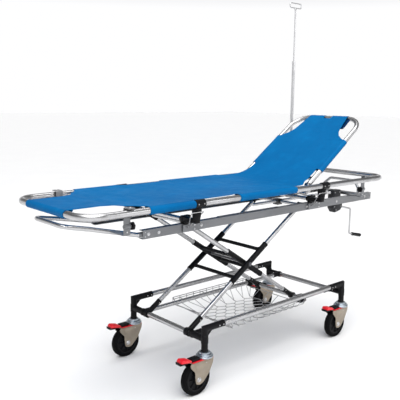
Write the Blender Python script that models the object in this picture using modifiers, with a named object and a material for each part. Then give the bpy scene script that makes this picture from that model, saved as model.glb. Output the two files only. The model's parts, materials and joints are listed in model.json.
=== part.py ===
"""Stretcher trolley: a tube base on four braked casters, a scissor lift driven by a crank and a lead
screw, an upper frame with cradles and latches, and a lift-off stretcher with a folding backrest.

Metres, +Z up. +X is the head end, -X the foot end, +Y the patient's right and -Y the patient's left.
The origin is on the floor, midway between the casters.
"""

import math

import bmesh
import bpy
from mathutils import Matrix, Vector

# ---- driving dimensions -------------------------------------------------------------------------
GAP = 0.0003            # between pieces that touch
RUN = 0.0003            # radial running clearance of a tube in a sleeve

POST_X = 0.507          # corner posts
POST_Y = 0.263
POST_D = 0.028
SIDE_Z = 0.286          # upper side tubes of the base
CROSS_Z = 0.238         # cross tubes and lower rails of the base
BASE_TUBE_D = 0.025
SLEEVE_D = 0.031
RAIL_Y = 0.184          # lower rails, which the lower slider runs on
RAIL_D = 0.022

WHEEL_R = 0.075
TRAIL = 0.052           # axle behind the caster's swivel axis
CASTER_TOP = 0.1842

LEG = 0.911             # scissor leg, pivot to pivot
LEG_ANGLE = math.radians(33.06)
LEG_D = 0.022
LEG_SLEEVE_D = 0.028
OUTER_Y = 0.1515        # planes of the outer and the inner legs
INNER_Y = 0.1215
SLEEVE_FROM, SLEEVE_TO = 0.32, 0.603
BOOT = 0.092            # length of the black boots at the legs' ends
BRACE_D = 0.018
AXLE_D = 0.012
SCREW_D = 0.016         # lead screw, and the upper slider's shaft

BEAM_FOOT, BEAM_HEAD = -0.786, 0.860
BEAM_Y = 0.19           # outer face of a side beam
BEAM_DEPTH = 0.025
BEAM_HALF = 0.0185      # half its height
BEAM_DROP = 0.005       # its middle, below the scissor's top pivots
BEAM_WALL = 0.003
TOP_TUBE_D = 0.019
BOW_D = 0.019

STRETCHER_Z = 0.847
STRETCHER_Y = 0.278
STRETCHER_FOOT, STRETCHER_HEAD = -1.105, 0.858
STRETCHER_CORNER = 0.09
STRETCHER_D = 0.028
HINGE_X = 0.219         # backrest hinge
BACK_ANGLE = math.radians(34.8)
BACK_LENGTH = 0.570
BACK_Y = 0.2255
BACK_D = 0.025
BACK_CORNER = 0.10
SHEET = 0.003

CRADLE_X = (-0.563, 0.288)
LATCH_X = (-0.9095, 0.670)
LATCH_Y = 0.255
KNOB_Z = 0.792

CRANK_FROM = Vector((0.800, 0, 0.6485))   # crank shaft, sloping down from the housing
CRANK_TILT = math.radians(13)
CRANK_SHAFT = 0.150
CRANK_DROP = 0.157
CRANK_D = 0.0105
POLE_X, POLE_Y = 0.722, 0.306
POLE_STEP, POLE_TOP = 1.50, 1.815

# ---- places that follow ---------------------------------------------------------------------------
LEG_RUN = LEG * math.cos(LEG_ANGLE)
LEG_RISE = LEG * math.sin(LEG_ANGLE)
FOOT_PIVOT = Vector((-POST_X, 0, CROSS_Z))             # outer legs, bottom
HEAD_SLIDE = Vector((-POST_X + LEG_RUN, 0, CROSS_Z))   # inner legs, bottom
PIVOT_Z = CROSS_Z + LEG_RISE
BEAM_Z = PIVOT_Z - BEAM_DROP
TOP_PIVOT = Vector((-POST_X, 0, PIVOT_Z))              # inner legs, top
TOP_SLIDE = Vector((-POST_X + LEG_RUN, 0, PIVOT_Z))    # outer legs, top
CENTRE = (FOOT_PIVOT + TOP_SLIDE) / 2
BEAM_TOP = BEAM_Z + BEAM_HALF
HINGE = Vector((HINGE_X, 0, STRETCHER_Z))
RAIL_SEAT = STRETCHER_Z - 0.009                        # top of the cradle cups

SIDES = {"left": -1, "right": 1}
ENDS = {"foot": -1, "head": 1}


# ---- scene and materials ----------------------------------------------------------------------------
def clear_scene():
    for item in list(bpy.data.objects):
        bpy.data.objects.remove(item, do_unlink=True)


def collection(name):
    made = bpy.data.collections.new(name)
    bpy.context.scene.collection.children.link(made)
    return made


def material(name, colour, roughness, metallic=0.0):
    made = bpy.data.materials.new(name)
    made.use_nodes = True
    shader = made.node_tree.nodes["Principled BSDF"]
    shader.inputs["Base Color"].default_value = (*colour, 1)
    shader.inputs["Roughness"].default_value = roughness
    shader.inputs["Metallic"].default_value = metallic
    made.diffuse_color = (*colour, 1)
    return made


clear_scene()
PARTS = collection("stretcher_trolley")
CUTTERS = collection("cutters")
ALUMINIUM = material("polished_aluminium", (0.78, 0.79, 0.81), 0.22, 1.0)
BEAM_GREY = material("anodised_grey", (0.42, 0.43, 0.45), 0.45, 0.8)
BLACK = material("black_plastic", (0.015, 0.015, 0.017), 0.45)
RUBBER = material("black_rubber", (0.02, 0.02, 0.02), 0.7)
NICKEL = material("nickel_plate", (0.55, 0.50, 0.45), 0.35, 0.9)
RED = material("red_plastic", (0.75, 0.02, 0.03), 0.35)
CHROME = material("chrome_wire", (0.8, 0.8, 0.82), 0.12, 1.0)
STEEL = material("bright_steel", (0.6, 0.6, 0.62), 0.3, 1.0)
CANVAS = material("blue_canvas", (0.0, 0.17, 0.52), 0.6)


# ---- shapes, each a bmesh in world coordinates ------------------------------------------------------
def cylinder(start, end, diameter, sides=16, end_diameter=None):
    start, end = Vector(start), Vector(end)
    run = end - start
    shape = bmesh.new()
    bmesh.ops.create_cone(
        shape, cap_ends=True, segments=sides, depth=run.length,
        radius1=diameter / 2, radius2=(end_diameter or diameter) / 2,
    )
    turn = Vector((0, 0, 1)).rotation_difference(run.normalized()).to_matrix().to_4x4()
    shape.transform(Matrix.Translation((start + end) / 2) @ turn)
    return shape


def block(low, high):
    low, high = Vector(low), Vector(high)
    shape = bmesh.new()
    bmesh.ops.create_cube(shape, size=1)
    size = [abs(b - a) for a, b in zip(low, high)]
    shape.transform(Matrix.Translation((low + high) / 2) @ Matrix.Diagonal((*size, 1)))
    return shape


def mesh_of_curve(curve):
    """A curve's evaluated mesh as a bmesh, with its caps welded; the curve is removed."""
    holder = bpy.data.objects.new("outline", curve)
    bpy.context.scene.collection.objects.link(holder)
    depsgraph = bpy.context.evaluated_depsgraph_get()
    mesh = bpy.data.meshes.new_from_object(holder.evaluated_get(depsgraph))
    shape = bmesh.new()
    shape.from_mesh(mesh)
    bmesh.ops.remove_doubles(shape, verts=shape.verts, dist=1e-6)
    bmesh.ops.recalc_face_normals(shape, faces=shape.faces)
    bpy.data.objects.remove(holder, do_unlink=True)
    bpy.data.meshes.remove(mesh)
    return shape


def pipe(points, diameter, resolution=3, closed=False):
    curve = bpy.data.curves.new("pipe", "CURVE")
    curve.dimensions = "3D"
    curve.bevel_depth = diameter / 2
    curve.bevel_resolution = resolution
    curve.use_fill_caps = not closed
    spline = curve.splines.new("POLY")
    spline.points.add(len(points) - 1)
    for target, point in zip(spline.points, points):
        target.co = (*point, 1)
    spline.use_cyclic_u = closed
    return mesh_of_curve(curve)


def plate(outline, thickness, place):
    """A flat outline in local X and Y, thickened about local Z and put in place by a matrix."""
    curve = bpy.data.curves.new("plate", "CURVE")
    curve.dimensions = "2D"
    curve.fill_mode = "BOTH"
    curve.extrude = thickness / 2
    spline = curve.splines.new("POLY")
    spline.points.add(len(outline) - 1)
    for target, (x, y) in zip(spline.points, outline):
        target.co = (x, y, 0, 1)
    spline.use_cyclic_u = True
    shape = mesh_of_curve(curve)
    shape.transform(place)
    return shape


def upright(x=0.0, y=0.0, z=0.0):
    """Puts a plate's outline in a plane of constant Y: local X to world X, local Y to world Z."""
    return Matrix.Translation((x, y, z)) @ Matrix.Rotation(math.radians(90), 4, "X")


def rounded(corners, radius, closed=False, steps=5):
    """The corner points with each bend replaced by an arc."""
    corners = [Vector(c) for c in corners]
    path = []
    for i, corner in enumerate(corners):
        if not closed and i in (0, len(corners) - 1):
            path.append(corner)
            continue
        back = (corners[i - 1] - corner).normalized()
        ahead = (corners[(i + 1) % len(corners)] - corner).normalized()
        half = back.angle(ahead) / 2
        centre = corner + (back + ahead).normalized() * radius / math.sin(half)
        first = corner + back * radius / math.tan(half) - centre
        last = corner + ahead * radius / math.tan(half) - centre
        sweep = first.angle(last)
        for k in range(steps + 1):
            t = k / steps
            a = math.sin((1 - t) * sweep) / math.sin(sweep)
            b = math.sin(t * sweep) / math.sin(sweep)
            path.append(centre + first * a + last * b)
    return path


def put(name, shape, pivot, home):
    mesh = bpy.data.meshes.new(name)
    shape.transform(Matrix.Translation(-Vector(pivot)))
    shape.to_mesh(mesh)
    shape.free()
    made = bpy.data.objects.new(name, mesh)
    made.location = pivot
    home.objects.link(made)
    return made


def part(name, shapes, finish, pivot=(0, 0, 0), cuts=()):
    """One named object from the union of its shapes, less its cuts, with its origin at the pivot."""
    made = put(name, shapes[0], pivot, PARTS)
    steps = [(s, "UNION") for s in shapes[1:]] + [(s, "DIFFERENCE") for s in cuts]
    for i, (shape, operation) in enumerate(steps):
        tool = put(f"{name}_tool_{i}", shape, pivot, CUTTERS)
        tool.hide_render = True
        tool.display_type = "WIRE"
        change = made.modifiers.new(operation.lower(), "BOOLEAN")
        change.operation = operation
        change.solver = "EXACT"
        change.object = tool
    made.data.materials.append(finish)
    made.data.shade_smooth()
    made.data.set_sharp_from_angle(angle=math.radians(35))
    return made


def along_y(x, z, y_from, y_to, diameter, sides=16):
    return cylinder((x, y_from, z), (x, y_to, z), diameter, sides)


def along_x(y, z, x_from, x_to, diameter, sides=16):
    return cylinder((x_from, y, z), (x_to, y, z), diameter, sides)


# ---- base -----------------------------------------------------------------------------------------------
def corner_post(end, side):
    sx, sy = ENDS[end], SIDES[side]
    x, y = sx * POST_X, sy * POST_Y
    t_inner = sy * 0.170
    part(
        f"corner_post_{end}_{side}",
        [
            cylinder((x, y, CASTER_TOP + GAP), (x, y, SIDE_Z + 0.014), POST_D),
            along_x(y, SIDE_Z, x + sx * 0.015, sx * 0.394, SLEEVE_D),
            along_y(x, CROSS_Z, y, t_inner, SLEEVE_D),
            along_x(sy * RAIL_Y, CROSS_Z, x, sx * 0.455, 0.0275),
        ],
        BLACK,
        (x, y, CASTER_TOP),
        [
            along_x(y, SIDE_Z, sx * 0.480, sx * 0.390, BASE_TUBE_D + 2 * RUN),
            along_y(x, CROSS_Z, sy * 0.236, sy * 0.160, BASE_TUBE_D + 2 * RUN),
            along_x(sy * RAIL_Y, CROSS_Z, sx * 0.4895, sx * 0.450, RAIL_D + 2 * RUN),
        ],
    )


def base_tubes():
    for side, sy in SIDES.items():
        part(f"side_tube_{side}", [along_x(sy * POST_Y, SIDE_Z, -0.4795, 0.4795, BASE_TUBE_D)], ALUMINIUM)
        part(f"lower_rail_{side}", [along_x(sy * RAIL_Y, CROSS_Z, -0.489, 0.489, RAIL_D)], ALUMINIUM)
    for end, sx in ENDS.items():
        part(f"{end}_cross_tube", [along_y(sx * POST_X, CROSS_Z, -0.2355, 0.2355, BASE_TUBE_D)], ALUMINIUM)


def tray(levels):
    """The convex solid through these levels, each a height, a foot end, a head end and a half width."""
    shape = bmesh.new()
    for z, foot, head, half in levels:
        for x in (foot, head):
            for y in (-half, half):
                shape.verts.new((x, y, z))
    made = bmesh.ops.convex_hull(shape, input=shape.verts)
    bmesh.ops.delete(shape, geom=made["geom_interior"], context="VERTS")
    bmesh.ops.recalc_face_normals(shape, faces=shape.faces)
    return shape


def wire_basket():
    """The basket's true outer shape as an open tray. It hangs outside the rails, and its end walls stop
    below the slider's path."""
    wall, rim, knee, bottom = 0.0025, 0.262, 0.213, 0.180
    half = RAIL_Y + 0.0245
    outside = [(rim, -0.300, 0.268, half), (knee, -0.276, 0.250, half), (bottom, -0.228, 0.195, 0.140)]
    inside = [(z + wall, foot + wall, head - wall, w - wall) for z, foot, head, w in outside]
    shapes = [tray(outside)]
    cuts = [tray(inside)]
    for start, end in ((-0.320, -0.268), (0.235, 0.290)):
        cuts.append(block((start, -(half - wall), 0.2185), (end, half - wall, rim + 0.01)))
    for sy in SIDES.values():
        shapes.append(block((-0.302, sy * (half - wall), 0.247), (0.268, sy * (half + 0.002), rim)))
        for x in (-0.262, -0.110, 0.105):
            hook_top = CROSS_Z + RAIL_D / 2 + GAP + 0.003
            shapes.append(block((x, sy * 0.175, hook_top - 0.003), (x + 0.008, sy * half, hook_top)))
    part("wire_basket", shapes, CHROME, (0, 0, CROSS_Z), cuts)


# ---- casters ----------------------------------------------------------------------------------------------
def fork_shapes():
    """A swivelling fork about the vertical axis through the origin, its wheel trailing towards -X."""
    cheek = [
        (-0.100, 0.1585), (0.034, 0.1585), (0.030, 0.135), (0.006, 0.090), (-0.030, 0.055),
        (-0.046, 0.050), (-0.062, 0.055), (-0.070, 0.072), (-0.074, 0.115), (-0.098, 0.140),
    ]
    shapes = [block((-0.090, -0.0245, 0.1525), (0.034, 0.0245, 0.1585))]
    for sy in (-1, 1):
        shapes.append(plate(cheek, 0.004, upright(y=sy * 0.0225)))
    shapes += [
        cylinder((0, 0, 0.158), (0, 0, 0.1705), 0.078, 20),
        cylinder((0, 0, 0.1700), (0, 0, CASTER_TOP), 0.074, 20, 0.060),
        along_y(-TRAIL, WHEEL_R, -0.0305, 0.0305, 0.012, 12),
        along_y(-TRAIL, WHEEL_R, -0.0305, -0.0245, 0.019, 12),
        along_y(-TRAIL, WHEEL_R, 0.0245, 0.0305, 0.019, 12),
        cylinder((-0.058, 0, 0.158), (-0.058, 0, 0.172), 0.013, 12),
    ]
    return shapes


def wheel_profile():
    """The wheel's closed half section: radius and height, down the tread and back up the bore."""
    shoulder = [math.radians(a) for a in (60, 0)]
    tread = [(0.068 + 0.007 * math.cos(a), 0.009 + 0.007 * math.sin(a)) for a in shoulder]
    upper = [(0.0066, 0.0185), (0.022, 0.0185), (0.028, 0.011), (0.054, 0.0145)] + tread
    return upper + [(r, -z) for r, z in reversed(upper)]


def wheel(name, x, y):
    profile = wheel_profile()
    mesh = bpy.data.meshes.new(name)
    ring = [(i, (i + 1) % len(profile)) for i in range(len(profile))]
    mesh.from_pydata([(r, 0, z) for r, z in profile], ring, [])
    made = bpy.data.objects.new(name, mesh)
    made.location = (x, y, WHEEL_R)
    made.rotation_euler = (math.radians(90), 0, 0)
    PARTS.objects.link(made)
    turn = made.modifiers.new("turn", "SCREW")
    turn.steps = turn.render_steps = 24
    turn.use_merge_vertices = True
    turn.merge_threshold = 0.00001
    made.data.materials.append(RUBBER)
    return made


def caster(end, side):
    tag = f"{end}_{side}"
    x, y = ENDS[end] * POST_X, SIDES[side] * POST_Y
    here = Matrix.Translation((x, y, 0))
    shapes = fork_shapes()
    pedal = plate(
        [
            (-0.083, 0.1592), (-0.083, 0.1700), (-0.098, 0.1760), (-0.136, 0.1850), (-0.143, 0.1800),
            (-0.153, 0.1730), (-0.151, 0.1640), (-0.116, 0.1600), (-0.104, 0.1592),
        ],
        0.037, upright(),
    )
    for shape in (*shapes, pedal):
        shape.transform(here)
    part(f"caster_fork_{tag}", shapes, NICKEL, (x, y, CASTER_TOP))
    part(f"brake_pedal_{tag}", [pedal], RED, (x - 0.088, y, 0.164))
    wheel(f"caster_wheel_{tag}", x - TRAIL, y)


# ---- scissor lift ---------------------------------------------------------------------------------------
def leg(bottom, top, y, bottom_bore, top_bore):
    """A leg in a plane of constant Y: tube, middle sleeve, end boots and eyes, bored for its pivots."""
    low, high = Vector((bottom.x, y, bottom.z)), Vector((top.x, y, top.z))
    way = (high - low).normalized()
    from_end = (SLEEVE_FROM, SLEEVE_TO) if bottom.x < top.x else (LEG - SLEEVE_TO, LEG - SLEEVE_FROM)
    shapes = [
        cylinder(low, high, LEG_D),
        cylinder(low + way * from_end[0], low + way * from_end[1], LEG_SLEEVE_D),
        cylinder(low + way * 0.010, low + way * BOOT, 0.026, 12),
        cylinder(high - way * BOOT, high - way * 0.010, 0.026, 12),
        along_y(low.x, low.z, y - 0.0125, y + 0.0125, bottom_bore + 0.011),
        along_y(high.x, high.z, y - 0.0125, y + 0.0125, top_bore + 0.011),
    ]
    cuts = [
        along_y(low.x, low.z, y - 0.03, y + 0.03, bottom_bore + 4 * RUN, 16),
        along_y(high.x, high.z, y - 0.03, y + 0.03, top_bore + 4 * RUN, 16),
        along_y(CENTRE.x, CENTRE.z, y - 0.03, y + 0.03, AXLE_D + 4 * RUN, 12),
    ]
    return shapes, cuts


def brace(along, bottom, top, half_length):
    """A black bar across the middle, this far along the legs from their bottom pivots."""
    at = bottom + (top - bottom).normalized() * along
    return along_y(at.x, at.z, -half_length, half_length, BRACE_D)


def scissor():
    for side, sy in SIDES.items():
        shapes, cuts = leg(FOOT_PIVOT, TOP_SLIDE, sy * OUTER_Y, BASE_TUBE_D, SCREW_D)
        part(f"outer_leg_{side}", shapes, ALUMINIUM, FOOT_PIVOT, cuts)
    reach = OUTER_Y - LEG_SLEEVE_D / 2 - GAP
    for word, along in (("lower", 0.354), ("upper", 0.558)):
        part(f"outer_brace_{word}", [brace(along, FOOT_PIVOT, TOP_SLIDE, reach)], BLACK, FOOT_PIVOT)

    shapes, cuts = [], []
    for sy in SIDES.values():
        more, holes = leg(HEAD_SLIDE, TOP_PIVOT, sy * INNER_Y, RAIL_D, TOP_TUBE_D)
        shapes += more
        cuts += holes
    for along in (0.382, 0.529):
        shapes.insert(1, brace(along, HEAD_SLIDE, TOP_PIVOT, INNER_Y - LEG_D / 2 + 0.002))
    part("inner_leg_frame", shapes, ALUMINIUM, CENTRE, cuts)

    axle = [along_y(CENTRE.x, CENTRE.z, -0.171, 0.171, AXLE_D)]
    for sy in SIDES.values():
        axle.append(along_y(CENTRE.x, CENTRE.z, sy * 0.1665, sy * 0.1715, 0.020))
    part("centre_axle", axle, STEEL, CENTRE)

    x, z = HEAD_SLIDE.x, HEAD_SLIDE.z
    shapes = [along_y(x, z, -0.175, 0.175, RAIL_D)]
    cuts = []
    for sy in SIDES.values():
        shapes.append(block((x - 0.023, sy * 0.1655, z - 0.017), (x + 0.023, sy * 0.2020, z + 0.017)))
        cuts.append(along_x(sy * RAIL_Y, z, x - 0.05, x + 0.05, RAIL_D + 2 * RUN))
    part("lower_slider", shapes, BLACK, HEAD_SLIDE, cuts)

    x, z = TOP_SLIDE.x, TOP_SLIDE.z
    shapes = [along_y(x, z, -0.184, 0.184, SCREW_D)]
    shapes.append(block((x - 0.025, -0.025, z - 0.022), (x + 0.025, 0.025, z + 0.0135)))
    for sy in SIDES.values():
        shapes.append(block((x - 0.023, sy * 0.1662, z - 0.0185), (x + 0.023, sy * 0.1862, z + 0.0095)))
    part("upper_slider", shapes, BLACK, TOP_SLIDE, [along_x(0, z, x - 0.05, x + 0.05, SCREW_D + 2 * RUN)])


# ---- upper frame ----------------------------------------------------------------------------------------
def side_beam(side):
    """A channel open towards the middle, which the upper slider's blocks run in."""
    sy = SIDES[side]
    inner = BEAM_Y - BEAM_DEPTH
    shapes = [block((BEAM_FOOT, sy * inner, BEAM_Z - BEAM_HALF), (BEAM_HEAD, sy * BEAM_Y, BEAM_TOP))]
    for x in (-0.757, -0.704, -0.469, 0.269, 0.526, 0.798):
        shapes.append(along_y(x, BEAM_Z, sy * (BEAM_Y - 0.001), sy * (BEAM_Y + 0.004), 0.011, 8))
    cuts = [
        block(
            (BEAM_FOOT - 0.01, sy * (inner - 0.01), BEAM_Z - BEAM_HALF + BEAM_WALL),
            (BEAM_HEAD + 0.01, sy * (BEAM_Y - BEAM_WALL), BEAM_TOP - BEAM_WALL),
        )
    ]
    part(f"side_beam_{side}", shapes, BEAM_GREY, (0, sy * BEAM_Y, BEAM_Z), cuts)


def foot_bow():
    z = BEAM_Z
    half = [(-0.735, 0.176, z), (-0.800, 0.176, z), (-1.000, 0.134, z + 0.044), (-1.104, 0.112, z + 0.064)]
    path = half + [(x, -y, z) for x, y, z in reversed(half)]
    part("foot_bow", [pipe(rounded(path, 0.045, steps=4), BOW_D)], ALUMINIUM, (BEAM_FOOT, 0, z))


def cross_members():
    reach = BEAM_Y - BEAM_WALL - GAP
    part("top_pivot_tube", [along_y(TOP_PIVOT.x, PIVOT_Z, -reach, reach, TOP_TUBE_D)], ALUMINIUM, TOP_PIVOT)
    x, z = 0.826, BEAM_Z
    half = [(x, 0.125, z), (x + 0.004, 0.122, z + 0.040), (x + 0.019, 0.084, z + 0.077)]
    hoop = half + [(px, -py, pz) for px, py, pz in reversed(half)]
    shapes = [along_y(x, z, -reach, reach, 0.024), pipe(rounded(hoop, 0.022, steps=3), 0.0155, 2)]
    part("head_bow", shapes, ALUMINIUM, (x, 0, z))
    for end, x in zip(ENDS, (-0.550, 0.318)):
        z = BEAM_TOP + GAP + 0.0135
        shapes = [along_y(x, z, -0.176, 0.176, 0.020)]
        for sy in SIDES.values():
            shapes.append(block((x - 0.022, sy * 0.1655, BEAM_TOP + GAP), (x + 0.022, sy * 0.1895, z + 0.020)))
        part(f"{end}_saddle_tube", shapes, BLACK, (x, 0, z))


def drive():
    z = PIVOT_Z
    profile = [
        (0.735, z + 0.014), (0.735, 0.642), (0.758, 0.614), (0.810, 0.624), (0.828, 0.640),
        (0.828, 0.674), (0.808, 0.700), (0.808, z + 0.014),
    ]
    axis = Vector((math.cos(CRANK_TILT), 0, -math.sin(CRANK_TILT)))
    elbow = CRANK_FROM + axis * CRANK_SHAFT
    wrist = elbow - Vector((0, 0, CRANK_DROP))
    shaft_bore = cylinder(CRANK_FROM - axis * 0.006, elbow, CRANK_D + 4 * RUN)
    screw_bore = along_x(0, z, 0.700, 0.778, SCREW_D + 4 * RUN)
    part("gear_housing", [plate(profile, 0.046, upright())], BLACK, CRANK_FROM, [screw_bore, shaft_bore])
    part("lead_screw", [along_x(0, z, 0.060, 0.7765, SCREW_D)], STEEL, (0.735, 0, z))
    path = rounded([CRANK_FROM, elbow, wrist, wrist + axis * 0.130], 0.012, steps=4)
    part("crank_arm", [pipe(path, CRANK_D, 2)], CHROME, CRANK_FROM)
    grip = cylinder(wrist + axis * 0.032, wrist + axis * 0.124, 0.022)
    grip_bore = cylinder(wrist + axis * 0.010, wrist + axis * 0.140, CRANK_D + 4 * RUN)
    part("crank_grip", [grip], BLACK, wrist + axis * 0.032, [grip_bore])


def cradle(end, side):
    """An arm on the beam with a cup under the rail, its face plate, and its wire bail."""
    sy = SIDES[side]
    x = CRADLE_X[0] if end == "foot" else CRADLE_X[1]
    bottom = BEAM_TOP + GAP
    plate_x = x + (0.046 if end == "foot" else 0.068)
    cup_y = sy * 0.2625
    shapes = [
        cylinder((x, cup_y, bottom + 0.026), (x, cup_y, RAIL_SEAT), 0.032, 24, 0.046),
        block((x - 0.013, sy * 0.1905, bottom + 0.0125), (x + 0.013, sy * 0.272, bottom + 0.031)),
        block((x - 0.012, sy * (BEAM_Y + 0.0045), BEAM_Z - 0.010), (x + 0.012, sy * 0.2005, bottom + 0.020)),
        block((x - 0.018, sy * (BEAM_Y + 0.0045), BEAM_Z - 0.017), (plate_x + 0.010, sy * 0.1985, BEAM_Z + 0.017)),
    ]
    for dz in (-0.009, 0.009):
        shapes.append(along_y(plate_x, BEAM_Z + dz, sy * 0.1975, sy * 0.2025, 0.009, 8))
    bail_y, bail_z = sy * 0.2850, bottom + 0.064
    wire = [
        (x + 0.004, sy * 0.1975, BEAM_Z + 0.002), (x + 0.004, sy * 0.2060, BEAM_Z + 0.004), (x - 0.048, bail_y, bail_z),
        (x + 0.020, bail_y, bail_z), (x + 0.016, sy * 0.2060, BEAM_Z + 0.010), (x + 0.016, sy * 0.1975, BEAM_Z + 0.008),
    ]
    shapes.append(pipe(rounded(wire, 0.003, steps=2), 0.004, 1))
    trough = along_x(sy * STRETCHER_Y, STRETCHER_Z, x - 0.05, x + 0.05, 0.036 + 4 * GAP, 20)
    part(f"cradle_{end}_{side}", shapes, BLACK, (x, sy * BEAM_Y, bottom), [trough])


def latch(end, side):
    """A flat bracket from the frame up to the rail, hooked over it, and its sprung knob."""
    sx, sy = ENDS[end], SIDES[side]
    x = LATCH_X[0] if end == "foot" else LATCH_X[1]
    y = LATCH_Y
    if end == "foot":
        base_z, inner = BEAM_Z + 0.0265, 0.1655
    else:
        base_z, inner = BEAM_TOP + GAP, 0.168
    clip = STRETCHER_Z + STRETCHER_D / 2 + 0.0035
    shapes = [
        block((x - 0.0155, sy * (y - 0.002), base_z), (x + 0.0155, sy * (y + 0.002), clip + 0.004)),
        block((x - 0.0155, sy * inner, base_z), (x + 0.0155, sy * (y + 0.002), base_z + 0.004)),
        block((x - 0.0155, sy * (y - 0.002), clip), (x + 0.0155, sy * 0.290, clip + 0.004)),
        block((x - 0.011, sy * 0.243, KNOB_Z - 0.013), (x + 0.016, sy * 0.265, KNOB_Z + 0.013)),
    ]
    bore = along_x(sy * y, KNOB_Z, x - 0.0065, x + 0.03, 0.008 + 4 * RUN, 12)
    if end == "head":
        for shape in (shapes[3], bore):
            shape.transform(Matrix.Translation((2 * x, 0, 0)) @ Matrix.Diagonal((-1, 1, 1, 1)))
            bmesh.ops.reverse_faces(shape, faces=shape.faces)
    part(f"latch_bracket_{end}_{side}", shapes, BEAM_GREY, (x, sy * y, base_z), [bore])
    out = -sx
    knob = [
        along_x(sy * y, KNOB_Z, x + out * 0.0060, x + out * 0.024, 0.008, 12),
        along_x(sy * y, KNOB_Z, x + out * 0.0190, x + out * 0.0310, 0.034, 18),
    ]
    part(f"latch_knob_{end}_{side}", knob, BLACK, (x, sy * y, KNOB_Z))


# ---- stretcher ------------------------------------------------------------------------------------------
def stretcher_frame():
    y, z = STRETCHER_Y, STRETCHER_Z
    loop = rounded(
        [(STRETCHER_FOOT, -y, z), (STRETCHER_FOOT, y, z), (STRETCHER_HEAD, y, z), (STRETCHER_HEAD, -y, z)],
        STRETCHER_CORNER, closed=True, steps=6,
    )
    shapes = [pipe(loop, STRETCHER_D, 4, closed=True)]
    bar_x, drop = HINGE_X - 0.034, z - 0.034
    bar = [(bar_x, -y, z), (bar_x, -y + 0.034, drop), (bar_x, y - 0.034, drop), (bar_x, y, z)]
    shapes.append(pipe(rounded(bar, 0.03, steps=3), 0.018, 2))
    for sy in SIDES.values():
        shapes.append(along_y(HINGE_X, z, sy * y, sy * 0.2145, 0.012, 12))
        for x in CRADLE_X:
            shapes.append(along_x(sy * y, z, x - 0.026, x + 0.026, 0.036, 20))
    part("stretcher_frame", shapes, ALUMINIUM, (0, 0, z))


def bed_sheet():
    """The canvas on the rails, drawn in to a tongue at the foot so that both foot corners are hand holds."""
    foot, tongue, shoulder, end = STRETCHER_FOOT - 0.014, 0.147, 0.291, 0.203
    half = [
        (foot, tongue), (-0.960, tongue), (-0.915, 0.160), (-0.870, 0.212), (-0.823, 0.262),
        (-0.823, shoulder), (CRADLE_X[0] - 0.028, shoulder), (CRADLE_X[0] - 0.028, 0.262),
        (-0.329, 0.262), (-0.329, shoulder), (0.058, shoulder), (0.058, 0.262), (end, 0.262),
    ]
    outline = half + [(x, -y) for x, y in reversed(half)]
    z = STRETCHER_Z + STRETCHER_D / 2 + GAP + SHEET / 2
    part("bed_sheet", [plate(outline, SHEET, Matrix.Translation((0, 0, z)))], CANVAS, (0, 0, z))


def backrest():
    """Modelled lying flat about its hinge, then turned up to its rest angle."""
    turn = Matrix.Translation(HINGE) @ Matrix.Rotation(-BACK_ANGLE, 4, "Y")
    top = BACK_LENGTH
    path = rounded(
        [(0.012, -BACK_Y, 0), (top, -BACK_Y, 0), (top, BACK_Y, 0), (0.012, BACK_Y, 0)], BACK_CORNER, steps=7
    )
    shapes = [pipe(path, BACK_D)]
    cuts = []
    for sy in SIDES.values():
        shapes.append(along_y(0, 0, sy * 0.2150, sy * 0.2375, 0.030, 16))
        cuts.append(along_y(0, 0, sy * 0.20, sy * 0.26, 0.012 + 2 * RUN, 12))
    lower_bar = along_y(0.060, 0, -BACK_Y, BACK_Y, 0.018)
    shapes.append(lower_bar)
    half = [
        (0.026, 0.210), (0.104, 0.211), (0.116, 0.238), (0.366, 0.238), (0.390, 0.195),
        (0.425, 0.156), (0.465, 0.146), (0.574, 0.128),
    ]
    outline = half + [(x, -y) for x, y in reversed(half)]
    sheet = plate(outline, SHEET, Matrix.Translation((0, 0, BACK_D / 2 + GAP + SHEET / 2)))
    for shape in (*shapes, *cuts, sheet):
        shape.transform(turn)
    part("backrest_frame", shapes, ALUMINIUM, HINGE, cuts)
    part("back_sheet", [sheet], CANVAS, HINGE)


def iv_pole():
    x, y = POLE_X, POLE_Y
    face = BEAM_Y + 0.0045
    low = BEAM_Z - 0.020
    shapes = [
        cylinder((x, y, low), (x, y, POLE_STEP), 0.019),
        cylinder((x, y, low), (x, y, low + 0.075), 0.027),
        cylinder((x, y, POLE_STEP - 0.035), (x, y, POLE_STEP + 0.004), 0.024),
        block((x - 0.018, face, low), (x + 0.018, face + 0.005, low + 0.036)),
        block((x - 0.018, face, low), (x + 0.018, y - 0.004, low + 0.005)),
    ]
    bore = cylinder((x, y, low + 0.030), (x, y, POLE_STEP + 0.02), 0.0114)
    part("iv_pole_lower", shapes, CHROME, (x, y, low), [bore])
    hook_low, hook_high = POLE_TOP, POLE_TOP + 0.027
    ring = rounded(
        [(x - 0.052, y, hook_low), (x + 0.052, y, hook_low), (x + 0.052, y, hook_high), (x - 0.052, y, hook_high)],
        0.011, closed=True, steps=4,
    )
    rod = [cylinder((x, y, POLE_STEP - 0.32), (x, y, hook_low + 0.001), 0.0095), pipe(ring, 0.006, 2, closed=True)]
    part("iv_pole_upper", rod, CHROME, (x, y, POLE_STEP))


def build():
    base_tubes()
    for end in ENDS:
        for side in SIDES:
            corner_post(end, side)
            caster(end, side)
            cradle(end, side)
            latch(end, side)
    wire_basket()
    scissor()
    for side in SIDES:
        side_beam(side)
    foot_bow()
    cross_members()
    drive()
    stretcher_frame()
    bed_sheet()
    backrest()
    iv_pole()


build()
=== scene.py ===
"""Looks of the stretcher trolley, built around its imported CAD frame: finer tubes, castings, casters, wire
basket and canvas, each with a procedural material. Metres, +X the head end, -Y the patient's left."""

import json
import math

import bmesh
import bpy
from mathutils import Matrix, Vector
from mathutils import noise


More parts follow.
